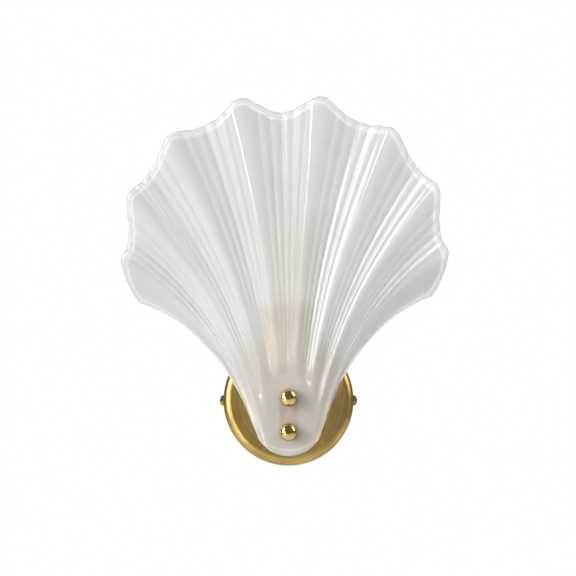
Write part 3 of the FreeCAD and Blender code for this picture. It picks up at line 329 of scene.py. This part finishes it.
def tilted(points, degrees, level):
    """Turned about the Y axis through a level on the Z axis."""
    turn = np.radians(degrees)
    x, z = points[..., 0], points[..., 2] - level
    return np.stack([x * np.cos(turn) + z * np.sin(turn), points[..., 1],
                     level - x * np.sin(turn) + z * np.cos(turn)], axis=-1)


def make_shell():
    """Front and back faces that meet at the border, where the thickness ends in a half circle.

    Marks: frost is 1 on the back, but for a band along the border; band is 1 on that band, on both
    faces; line is 1 on the band's inner edge and falls off as a bell curve, and the material paints
    it as a highlight.
    """
    u, v = shell_grid()
    front, back = shell_point(u, v), back_point(u, v)
    from_border = border_distance(u, v)
    frost = ease((from_border - BAND_WIDTH) / BAND_FADE)
    line = np.exp(-((from_border - BAND_WIDTH) / HIGHLIGHT_LINE_WIDTH) ** 2)
    nearness = 1 - np.clip(from_border / EDGE_RADIUS, 0, 1)
    fullness = np.sqrt(1 - nearness ** 2)[..., None]
    middle, half = (front + back) / 2, (front - back) / 2
    both = np.stack([middle + half * fullness, middle - half * fullness])
    both = tilted(both, SHELL_TILT, -BOLT_SPACING / 2)
    rows, columns = u.shape
    squares = grid_faces(rows, columns)
    faces = np.concatenate([squares, squares[:, ::-1] + rows * columns])
    marks = {"frost": np.stack([0 * frost, frost]),
             "band": np.stack([1 - frost, 1 - frost]),
             "line": np.stack([line, line])}
    return make_piece("shell_glass", both, faces, "glass_shade", marks=marks)


shell = make_shell()

# %% [markdown]
# ## The two domed nuts
# A cap nut of this kind is turned from brass: a short straight skirt, then a dome that is flatter
# in the middle than a ball, which gives it a broad even centre. Round the bottom of the dome the brass
# is painted dark, as painted shade for the dark rim where the dome turns away, and a mark on the mesh
# says where. A sphere from Blender's own menu would look like a bead, so the dome is a superellipse,
# turned about its bolt.

# %% Turn the nuts
NUT_SKIRT, NUT_CHAMFER, DOME_POWER = 2.6, 0.35, 2.6
NUT_SIDES, DOME_ROWS = 64, 28
# how far up the dome the painted rim shade reaches, and how softly it fades
RIM_SHADE_BELOW, RIM_SHADE_FADE = 0.55, 0.2


def extent(node):
    """Lowest and highest corner of a node of the model, in millimetres."""
    mesh = nodes[node].data
    places = np.empty(len(mesh.vertices) * 3)
    mesh.vertices.foreach_get("co", places)
    places = places.reshape(-1, 3) / MM
    return places.min(axis=0), places.max(axis=0)


def turned(radius, height, centre, sides=NUT_SIDES):
    """A profile turned about a line along Y: x and z are radius times cosine and sine."""
    angle = np.linspace(0, 2 * np.pi, sides + 1)
    x = centre[0] + radius[:, None] * np.cos(angle)
    z = centre[2] + radius[:, None] * np.sin(angle)
    return np.stack([x, np.broadcast_to(centre[1] - height[:, None], x.shape), z], axis=-1)


def make_nut(name, node):
    """Skirt, then (r / R) ** p + (h / H) ** p = 1 up to the pole, over the nut's own box."""
    low, high = extent(node)
    widest, tall = (high[0] - low[0]) / 2, high[1] - low[1]
    turn = np.linspace(0, np.pi / 2, DOME_ROWS)
    dome_radius = widest * np.cos(turn) ** (2 / DOME_POWER)
    dome_height = NUT_SKIRT + (tall - NUT_SKIRT) * np.sin(turn) ** (2 / DOME_POWER)
    radius = np.concatenate([[0, widest - NUT_CHAMFER, widest], dome_radius])
    height = np.concatenate([[0, 0, NUT_CHAMFER], dome_height])
    radius[-1] = 0
    points = turned(radius, height, ((low[0] + high[0]) / 2, high[1], (low[2] + high[2]) / 2))
    # painted shade mark: 1 on the lower, steep part of the dome, where the nut's rim looks dark
    painted_rim_shade = 1 - ease((height / tall - RIM_SHADE_BELOW) / RIM_SHADE_FADE)
    painted_rim_shade = np.broadcast_to(painted_rim_shade[:, None], (len(painted_rim_shade), NUT_SIDES + 1))
    return make_piece(name, points, grid_faces(len(radius), NUT_SIDES + 1), node, marks={"painted_rim_shade": painted_rim_shade})


domed_nuts = [make_nut("domed_nut_" + side, "cap_nut_" + side) for side in ("upper", "lower")]

# %% [markdown]
# ## Building materials with few words
# A finish is a small graph of nodes. It could be wired by hand in the editor. Here one helper adds
# a node, and takes for each socket either a value or another node's socket to link from. Four
# shorter helpers are made of it, for the nodes that come up again and again.

# %% Helpers for node graphs
def add(tree, kind, inputs=None, **settings):
    """Add a node: settings are its properties, inputs maps a socket to a value or a socket."""
    made = tree.nodes.new(kind)
    for key, setting in settings.items():
        setattr(made, key, setting)
    for key, given in (inputs or {}).items():
        if isinstance(given, bpy.types.NodeSocket):
            tree.links.new(given, made.inputs[key])
        else:
            made.inputs[key].default_value = given
    return made


def maths(tree, operation, *inputs, clamp=False):
    """The result of one sum on one to three amounts."""
    given = dict(enumerate(inputs))
    return add(tree, "ShaderNodeMath", given, operation=operation, use_clamp=clamp).outputs[0]


def remap(tree, amount, low, high, start=0.0, end=1.0, curve="LINEAR"):
    """Take an amount from the range start to end over to the range low to high, and no further."""
    ranges = {"Value": amount, "From Min": start, "From Max": end, "To Min": low, "To Max": high}
    return add(tree, "ShaderNodeMapRange", ranges, interpolation_type=curve).outputs[0]


def blend(tree, share, first, second):
    """Mix two colours; each is three numbers or a socket."""
    first, second = ((*tone, 1) if isinstance(tone, tuple) else tone for tone in (first, second))
    return add(tree, "ShaderNodeMix", {"Factor": share, 6: first, 7: second}, data_type="RGBA").outputs[2]


def blend_amounts(tree, share, first, second):
    """Mix two amounts."""
    return add(tree, "ShaderNodeMix", {"Factor": share, 2: first, 3: second}).outputs[0]


# %% [markdown]
# ## Building materials with few words: where a graph starts
# Node groups and materials start in the same way each time. Copies of one master material could be
# changed, but a short function that starts an empty one keeps every finish readable by itself.

# %% New groups and materials
def new_group(name, inputs, outputs):
    """An empty node group; inputs maps a name to its default, a number or three numbers."""
    tree = bpy.data.node_groups.new(name, "ShaderNodeTree")
    for socket_name, default in inputs.items():
        kind = "NodeSocketVector" if isinstance(default, tuple) else "NodeSocketFloat"
        socket = tree.interface.new_socket(socket_name, in_out="INPUT", socket_type=kind)
        socket.default_value = default
    for socket_name in outputs:
        tree.interface.new_socket(socket_name, in_out="OUTPUT", socket_type="NodeSocketFloat")
    return tree, tree.nodes.new("NodeGroupInput").outputs, tree.nodes.new("NodeGroupOutput").inputs


def new_material(name):
    """A material with its node tree, its Principled shader and its Object coordinates."""
    material = bpy.data.materials.new(name)
    material.use_nodes = True
    tree = material.node_tree
    return material, tree, tree.nodes["Principled BSDF"], add(tree, "ShaderNodeTexCoord").outputs["Object"]


# %% [markdown]
# ## Marks that more than one finish has: rings
# Spun brass has fine rings round the axis that it turned on. They could be scratches in a picture,
# but noise that runs along the radius and hardly around it gives them at any size. The group reads
# the Object coordinates, so the rings stay fixed to the piece, at true scale.

# %% Group: rings of a turned part
RINGS_PER_METRE, RING_WAVER, RING_DETAIL = 900.0, 0.4, 4.0
RING_DARK, RING_LIGHT = 0.32, 0.68


def make_turned_rings():
    """Noise over the radius plus the height, drawn out along the turn, then sharpened."""
    tree, given, result = new_group("turned_rings", {"Position": (0.0, 0.0, 0.0)}, ["Rings"])
    flat = add(tree, "ShaderNodeVectorMath", {0: given["Position"], 1: (1, 1, 0)}, operation="MULTIPLY")
    radius = add(tree, "ShaderNodeVectorMath", {0: flat.outputs[0]}, operation="LENGTH")
    height = add(tree, "ShaderNodeSeparateXYZ", {0: given["Position"]}).outputs["Z"]
    reach = maths(tree, "ADD", radius.outputs["Value"], height)
    around = add(tree, "ShaderNodeVectorMath", {0: flat.outputs[0]}, operation="NORMALIZE")
    slow = add(tree, "ShaderNodeVectorMath", {0: around.outputs[0], "Scale": RING_WAVER}, operation="SCALE")
    fast = add(tree, "ShaderNodeCombineXYZ", {"Z": maths(tree, "MULTIPLY", reach, RINGS_PER_METRE)})
    spot = add(tree, "ShaderNodeVectorMath", {0: slow.outputs[0], 1: fast.outputs[0]})
    settings = {"Vector": spot.outputs[0], "Scale": 1.0, "Detail": RING_DETAIL}
    noise = add(tree, "ShaderNodeTexNoise", settings)
    sharp = remap(tree, noise.outputs["Fac"], 0.0, 1.0, RING_DARK, RING_LIGHT)
    tree.links.new(sharp, result["Rings"])
    return tree


turned_rings = make_turned_rings()
print("group", turned_rings.name)

# %% [markdown]
# ## Marks that more than one finish has: patches and grain
# No surface is one even tone. Handled brass has soft darker patches, and moulded or etched parts
# have a faint grain. Two sizes of noise give both, and each material asks for its own size.

# %% Group: soft patches and a fine grain
PATCH_DETAIL, PATCH_ROUGHNESS = 5.0, 0.6
GRAIN_FINER, GRAIN_DETAIL = 60.0, 2.0


def make_patches():
    """Two sizes of noise; the soft one is sharpened about its middle: (n - 1/2) contrast + 1/2."""
    tree, given, result = new_group(
        "patches", {"Position": (0.0, 0.0, 0.0), "Patches per Metre": 30.0, "Contrast": 2.0},
        ["Patches", "Grain"])
    place, size = given["Position"], given["Patches per Metre"]
    settings = {"Vector": place, "Scale": size, "Detail": PATCH_DETAIL, "Roughness": PATCH_ROUGHNESS}
    soft = add(tree, "ShaderNodeTexNoise", settings).outputs["Fac"]
    off = maths(tree, "SUBTRACT", soft, 0.5)
    sharp = maths(tree, "MULTIPLY_ADD", off, given["Contrast"], 0.5, clamp=True)
    finer = maths(tree, "MULTIPLY", size, GRAIN_FINER)
    settings = {"Vector": place, "Scale": finer, "Detail": GRAIN_DETAIL}
    fine = add(tree, "ShaderNodeTexNoise", settings).outputs["Fac"]
    tree.links.new(sharp, result["Patches"])
    tree.links.new(fine, result["Grain"])
    return tree


patches = make_patches()
print("group", patches.name)

# %% [markdown]
# ## Metal, plastic and ceramic: the recipe
# One recipe covers the plain parts: a light and a dark tone mixed by the soft patches, a roughness
# that follows them, and a fine bump. Metals add rings where they were turned. A metal's colour
# lies in its reflections, so brass is Metallic 1 with a yellow base.

# %% The recipe for solid finishes
LAMP_FROM_WALL = 44
# how dark the painted rim shade is, as a share of the dark tone
RIM_SHADE_DARKNESS = 0.2
BUMP_HEIGHT = 0.0002
FACING_AXIS = {"Location": (0, 0, 0), "Rotation": (np.pi / 2, 0, 0)}
UPRIGHT_AXIS = {"Location": (0, LAMP_FROM_WALL * MM, 0), "Rotation": (0, 0, 0)}


def solid_finish(name, light, dark, rough, metallic=0.0, rings=0.0, axis=FACING_AXIS,
                 contrast=1.5, bump=0.05, grain_per_metre=30.0, painted_shade_mark=None, **constants):
    """Patchy two-tone material; rough is a low and a high value, rings the strength of the rings.

    Where the painted shade mark is 1 the colour is darkened to a fifth of its dark tone: painted shade.
    """
    material, tree, shader, place = new_material(name)
    centred = add(tree, "ShaderNodeMapping", {"Vector": place, **axis}).outputs[0]
    wear = {"Position": centred, "Contrast": contrast, "Patches per Metre": grain_per_metre}
    worn = add(tree, "ShaderNodeGroup", wear, node_tree=patches)
    mask, height = worn.outputs["Patches"], worn.outputs["Grain"]
    if rings:
        marks = add(tree, "ShaderNodeGroup", {"Position": centred}, node_tree=turned_rings)
        height = marks.outputs["Rings"]
        mask = blend_amounts(tree, rings, mask, height)
    colour = blend(tree, mask, light, dark)
    # painted shade: the marked part of the colour is darkened, for the dark rim of the nuts
    if painted_shade_mark:
        rim_shade = add(tree, "ShaderNodeAttribute", attribute_name=painted_shade_mark).outputs["Fac"]
        colour = blend(tree, rim_shade, colour, tuple(RIM_SHADE_DARKNESS * tone for tone in dark))
    tree.links.new(colour, shader.inputs["Base Color"])
    tree.links.new(remap(tree, mask, *rough), shader.inputs["Roughness"])
    relief = add(tree, "ShaderNodeBump", {"Height": height, "Strength": bump, "Distance": BUMP_HEIGHT})
    tree.links.new(relief.outputs[0], shader.inputs["Normal"])
    shader.inputs["Metallic"].default_value = metallic
    for socket, amount in constants.items():
        shader.inputs[socket.replace("_", " ")].default_value = amount
    return material


# %% [markdown]
# ## Metal, plastic and ceramic: the tones
# The brass of the canopy is satin and spun, that of the domed nuts is polished, and the hidden
# brass is plain. A wrong tone could be hidden by coloured lamps, but the part also has to look
# right under other light, so each metal keeps close to the tones of the real one.

# %% Metals
finishes = {
    "spun_brass": solid_finish(
        "satin_spun_brass", (0.76, 0.55, 0.2), (0.32, 0.21, 0.055), (0.26, 0.4),
        metallic=1, rings=0.55, bump=0.35, contrast=3.0, grain_per_metre=55.0),
    "upright_brass": solid_finish(
        "satin_spun_brass_upright", (0.76, 0.55, 0.2), (0.32, 0.21, 0.055), (0.26, 0.4),
        metallic=1, rings=0.55, bump=0.35, contrast=3.0, axis=UPRIGHT_AXIS),
    "polished_brass": solid_finish(
        "polished_brass", (0.86, 0.64, 0.26), (0.66, 0.45, 0.16), (0.06, 0.14),
        metallic=1, painted_shade_mark="painted_rim_shade"),
    "plain_brass": solid_finish(
        "plain_brass", (0.82, 0.66, 0.4), (0.66, 0.5, 0.27), (0.25, 0.4), metallic=1),
    "screw_brass": solid_finish(
        "screw_brass", (0.62, 0.42, 0.18), (0.3, 0.18, 0.07), (0.18, 0.34), metallic=1),
    "zinc_steel": solid_finish(
        "zinc_plated_steel", (0.62, 0.63, 0.62), (0.42, 0.44, 0.46), (0.28, 0.45),
        metallic=1, grain_per_metre=90.0),
    "nickel": solid_finish(
        "nickel_plate", (0.72, 0.69, 0.64), (0.55, 0.52, 0.47), (0.15, 0.28), metallic=1),
    "tungsten": solid_finish(
        "tungsten_wire", (0.3, 0.3, 0.31), (0.16, 0.16, 0.17), (0.4, 0.5), metallic=1),
}
print(len(finishes), "metals")

# %% Glass, ceramic, plastic and rubber
finishes |= {
    "black_glass": solid_finish(
        "black_glazed_glass", (0.02, 0.02, 0.025), (0.04, 0.04, 0.045), (0.08, 0.16)),
    "white_ceramic": solid_finish(
        "white_glazed_ceramic", (0.84, 0.82, 0.77), (0.76, 0.73, 0.67), (0.12, 0.3)),
    "white_plastic": solid_finish(
        "white_moulded_plastic", (0.82, 0.82, 0.79), (0.74, 0.73, 0.69), (0.35, 0.5), bump=0.15),
    "clear_plastic": solid_finish(
        "clear_plastic", (0.86, 0.86, 0.83), (0.78, 0.78, 0.74), (0.2, 0.3),
        Transmission_Weight=0.8, IOR=1.46),
    "clear_glass": solid_finish(
        "clear_stem_glass", (0.95, 0.97, 0.96), (0.9, 0.93, 0.92), (0.02, 0.06),
        Transmission_Weight=1.0, IOR=1.5),
    "seal_rubber": solid_finish(
        "white_seal_foam", (0.72, 0.71, 0.69), (0.6, 0.59, 0.56), (0.6, 0.75), bump=0.3),
    "pad_rubber": solid_finish(
        "cream_pad_rubber", (0.9, 0.7, 0.42), (0.82, 0.6, 0.34), (0.6, 0.75), bump=0.3),
    "lead_brown": solid_finish(
        "brown_lead_cover", (0.2, 0.09, 0.04), (0.14, 0.06, 0.03), (0.35, 0.5)),
    "lead_blue": solid_finish(
        "blue_lead_cover", (0.05, 0.14, 0.4), (0.035, 0.1, 0.3), (0.35, 0.5)),
    "lead_green": solid_finish(
        "green_lead_cover", (0.12, 0.34, 0.07), (0.5, 0.48, 0.05), (0.35, 0.5), contrast=6.0),
    "opal_glass": solid_finish(
        "opal_bulb_glass", (0.98, 0.9, 0.79), (0.95, 0.86, 0.74), (0.12, 0.22),
        Subsurface_Weight=0.3, Subsurface_Scale=0.004, Subsurface_Radius=(1, 0.9, 0.8)),
}
print(len(finishes), "finishes")

# %% [markdown]
# ## Frosted pressed glass
# The shell's front is bright and smooth, and its back is etched to a fine matt frost, which
# scatters what is behind. A stack of two thin meshes could show that, but the glass here is one
# Principled shader that lets most light through and scatters the rest in its milky body. Marks on
# the mesh drive its roughness and tint: the back is frosted, a clear band follows the border, and
# a bright line where the frost begins is a painted highlight. A fine speckle is added, as etching
# is never even.

# %% The shell's glass
GLASS_ROUGH, ETCHED_ROUGH = (0.05, 0.08), (0.82, 0.9)
GLASS_TINT, ETCHED_TINT = (0.705, 0.705, 0.7), (0.675, 0.675, 0.67)
# the line mark's tint is a painted highlight: a bright line where the glass edge catches the light
BAND_TINT, PAINTED_HIGHLIGHT_TINT = (0.74, 0.74, 0.735), (0.95, 0.95, 0.94)
GLASS_CLEARNESS, GLASS_IOR = 0.62, 1.5
FROST_BUMP, FROST_HEIGHT = 0.15, 0.0001
LIGHT_LET_THROUGH = 0.85


def let_light_through(tree, shader):
    """Let part of each lamp's light straight through: glass would else shade what it covers."""
    shadow = add(tree, "ShaderNodeLightPath").outputs["Is Shadow Ray"]
    share = maths(tree, "MULTIPLY", shadow, LIGHT_LET_THROUGH)
    nothing = add(tree, "ShaderNodeBsdfTransparent")
    mixed = add(tree, "ShaderNodeMixShader", {0: share, 1: shader.outputs[0], 2: nothing.outputs[0]})
    tree.links.new(mixed.outputs[0], tree.nodes["Material Output"].inputs["Surface"])


def shell_finish():
    """Milky glass: roughness and fine bump follow the frost mark; the band mark tints, the line mark paints a
    highlight.
    """
    material, tree, shader, place = new_material("frosted_shell_glass")
    frost, band, line = (add(tree, "ShaderNodeAttribute", attribute_name=mark).outputs["Fac"]
                         for mark in ("frost", "band", "line"))
    etch = add(tree, "ShaderNodeGroup", {"Position": place}, node_tree=patches).outputs
    smooth, matt = (remap(tree, etch["Patches"], *rough) for rough in (GLASS_ROUGH, ETCHED_ROUGH))
    tree.links.new(blend_amounts(tree, frost, smooth, matt), shader.inputs["Roughness"])
    tint = blend(tree, etch["Patches"], GLASS_TINT, ETCHED_TINT)
    # painted highlight: the line mark brightens the tint along the band's inner edge
    highlighted = blend(tree, line, blend(tree, band, tint, BAND_TINT), PAINTED_HIGHLIGHT_TINT)
    tree.links.new(highlighted, shader.inputs["Base Color"])
    height = maths(tree, "MULTIPLY", frost, etch["Grain"])
    relief = add(tree, "ShaderNodeBump", {"Height": height, "Strength": FROST_BUMP, "Distance": FROST_HEIGHT})
    tree.links.new(relief.outputs[0], shader.inputs["Normal"])
    shader.inputs["Transmission Weight"].default_value = GLASS_CLEARNESS
    shader.inputs["IOR"].default_value = GLASS_IOR
    let_light_through(tree, shader)
    return material


finishes["frosted_glass"] = shell_finish()
print("finish", finishes["frosted_glass"].name)

# %% [markdown]
# ## Dressing every part
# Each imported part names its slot, and the slot picks the finish. A part that has been rebuilt is
# dressed by its new piece. Turned brass needs its own axis: the canopy faces forward, the
# lampholder stands upright.

# %% Give each part its finish
UPRIGHT_PARTS = ("holder_cup", "holder_sleeve")


def dress(thing, finish):
    """Put one finish in the thing's only material slot."""
    thing.data.materials.clear()
    thing.data.materials.append(finishes[finish])


for name, thing in nodes.items():
    dress(thing, "upright_brass" if name in UPRIGHT_PARTS else slot_of[name])
dress(shell, "frosted_glass")
for nut in domed_nuts:
    dress(nut, "polished_brass")
print("dressed", len(nodes), "parts and", 1 + len(domed_nuts), "rebuilt ones")

# %% [markdown]
# ## The studio: the world
# The world gives an even grey light, and shows white to the camera, through glass and in
# reflections of what lies behind the sconce. A white wall would also work, but it would hide the
# sconce from behind, and here the white comes from the world, not from more light on the object.

# %% World
AMBIENT, GLOSSY_AMBIENT = 0.44, 0.15
BACKDROP_EDGE, BACKDROP_FADE = 0.985, 0.12
SIDE_LIGHT, SIDE_FROM, SIDE_TO = 0.4, -0.3, 0.8


def make_world():
    """White for camera rays, for reflections from behind and through glass, else an even grey.

    How far a ray points to the back, from -1 to 1, decides how white it is.
    """
    world = bpy.data.worlds.new("studio")
    bpy.context.scene.world = world
    world.use_nodes = True
    tree = world.node_tree
    rays = add(tree, "ShaderNodeLightPath").outputs
    direction = add(tree, "ShaderNodeTexCoord").outputs["Generated"]
    backward = add(tree, "ShaderNodeSeparateXYZ", {0: direction}).outputs["Y"]
    edge = BACKDROP_EDGE - BACKDROP_FADE, BACKDROP_EDGE
    behind = remap(tree, backward, 0.0, 1.0, *edge, curve="SMOOTHSTEP")
    through = remap(tree, backward, SIDE_LIGHT, 1.0, SIDE_FROM, SIDE_TO, curve="SMOOTHSTEP")
    shiny = maths(tree, "MULTIPLY", rays["Is Glossy Ray"], behind)
    clear = maths(tree, "MULTIPLY", rays["Is Transmission Ray"], through)
    seen = maths(tree, "MAXIMUM", rays["Is Camera Ray"], shiny)
    white = maths(tree, "MAXIMUM", seen, clear)
    plain = remap(tree, rays["Is Glossy Ray"], AMBIENT, GLOSSY_AMBIENT)
    background = tree.nodes["Background"].inputs
    tree.links.new(maths(tree, "MAXIMUM", white, plain), background["Strength"])
    background["Color"].default_value = (1, 1, 1, 1)


make_world()
print("world", bpy.context.scene.world.name)

# %% [markdown]
# ## The studio: the lamps
# A tall soft lamp shines from the left and a warmer one from the right. A low narrow strip draws
# long thin lines of light on the ribs. One big lamp would light the glass as well, but flatly:
# glass and brass are read by the shapes that they mirror.

# %% Lamps
LAMP_CENTRE = np.array([0, -0.07, 0.06])
# Name, azimuth and elevation in degrees, distance, width and height in metres, watts, colour.
LAMPS = (
    ("left_softbox", -58, 15, 1.5, 0.6, 1.2, 22, (1, 0.99, 0.97)),
    ("low_strip", -31, -9, 1.4, 0.12, 0.7, 2.8, (1, 0.99, 0.97)),
    ("right_softbox", 66, 32, 1.6, 0.9, 1.2, 13, (1, 0.92, 0.78)),
)


def soft_lamp(name, azimuth, elevation, distance, width, height, watts, colour):
    """An area lamp that faces the shell's neck; azimuth counts from the viewer to the right."""
    data = bpy.data.lights.new(name, "AREA")
    data.shape = "RECTANGLE"
    data.size, data.size_y, data.energy, data.color = width, height, watts, colour
    lamp = bpy.data.objects.new(name, data)
    bpy.context.scene.collection.objects.link(lamp)
    turn, rise = np.radians(azimuth), np.radians(elevation)
    toward = np.array([np.sin(turn) * np.cos(rise), -np.cos(turn) * np.cos(rise), np.sin(rise)])
    lamp.location = LAMP_CENTRE + distance * toward
    lamp.rotation_euler = (np.pi / 2 - rise, 0, turn)


for lamp in LAMPS:
    soft_lamp(*lamp)
print(len(LAMPS), "lamps")

# %% [markdown]
# ## The studio: the floor
# A pale floor lies well under the sconce, which hangs on a wall. A floor that is only lit would
# look grey and end in a line at the horizon, so it shows partly its own light and partly plain
# white, and more white the farther off it is. The lit share keeps the shadow.

# %% Floor
FLOOR_LEVEL = -0.6
FLOOR_CORNERS = ((-4, -4), (4, -4), (4, 4), (-4, 4))
FLOOR_TONE, FLOOR_ROUGH = 0.8, 0.9
FLOOR_WHITE, FLOOR_GLOSS = 0.6, 0.2
FADE_FROM, FADE_TO = 0.8, 2.4


def make_floor():
    """A flat square whose white share grows with the distance from the middle."""
    mesh = bpy.data.meshes.new("floor")
    mesh.from_pydata([(x, y, FLOOR_LEVEL) for x, y in FLOOR_CORNERS], [], [(0, 1, 2, 3)])
    floor = bpy.data.objects.new("floor", mesh)
    bpy.context.scene.collection.objects.link(floor)
    material, tree, shader, place = new_material("pale_floor")
    shader.inputs["Base Color"].default_value = (FLOOR_TONE, FLOOR_TONE, FLOOR_TONE, 1)
    shader.inputs["Roughness"].default_value = FLOOR_ROUGH
    rays = add(tree, "ShaderNodeLightPath").outputs
    away = add(tree, "ShaderNodeVectorMath", {0: place}, operation="LENGTH").outputs["Value"]
    faded = remap(tree, away, FLOOR_WHITE, 1.0, FADE_FROM, FADE_TO, curve="SMOOTHSTEP")
    shown = maths(tree, "MAXIMUM", rays["Is Camera Ray"], rays["Is Transmission Ray"])
    plain = maths(tree, "MULTIPLY", shown, faded)
    gloss = maths(tree, "MULTIPLY", rays["Is Glossy Ray"], FLOOR_GLOSS)
    share = maths(tree, "MAXIMUM", plain, gloss)
    white = add(tree, "ShaderNodeEmission", {"Color": (1, 1, 1, 1), "Strength": 1.0})
    mixed = add(tree, "ShaderNodeMixShader", {0: share, 1: shader.outputs[0], 2: white.outputs[0]})
    tree.links.new(mixed.outputs[0], tree.nodes["Material Output"].inputs["Surface"])
    mesh.materials.append(material)


make_floor()
bpy.context.scene.view_settings.view_transform = "Standard"
print("floor at", FLOOR_LEVEL, "m")
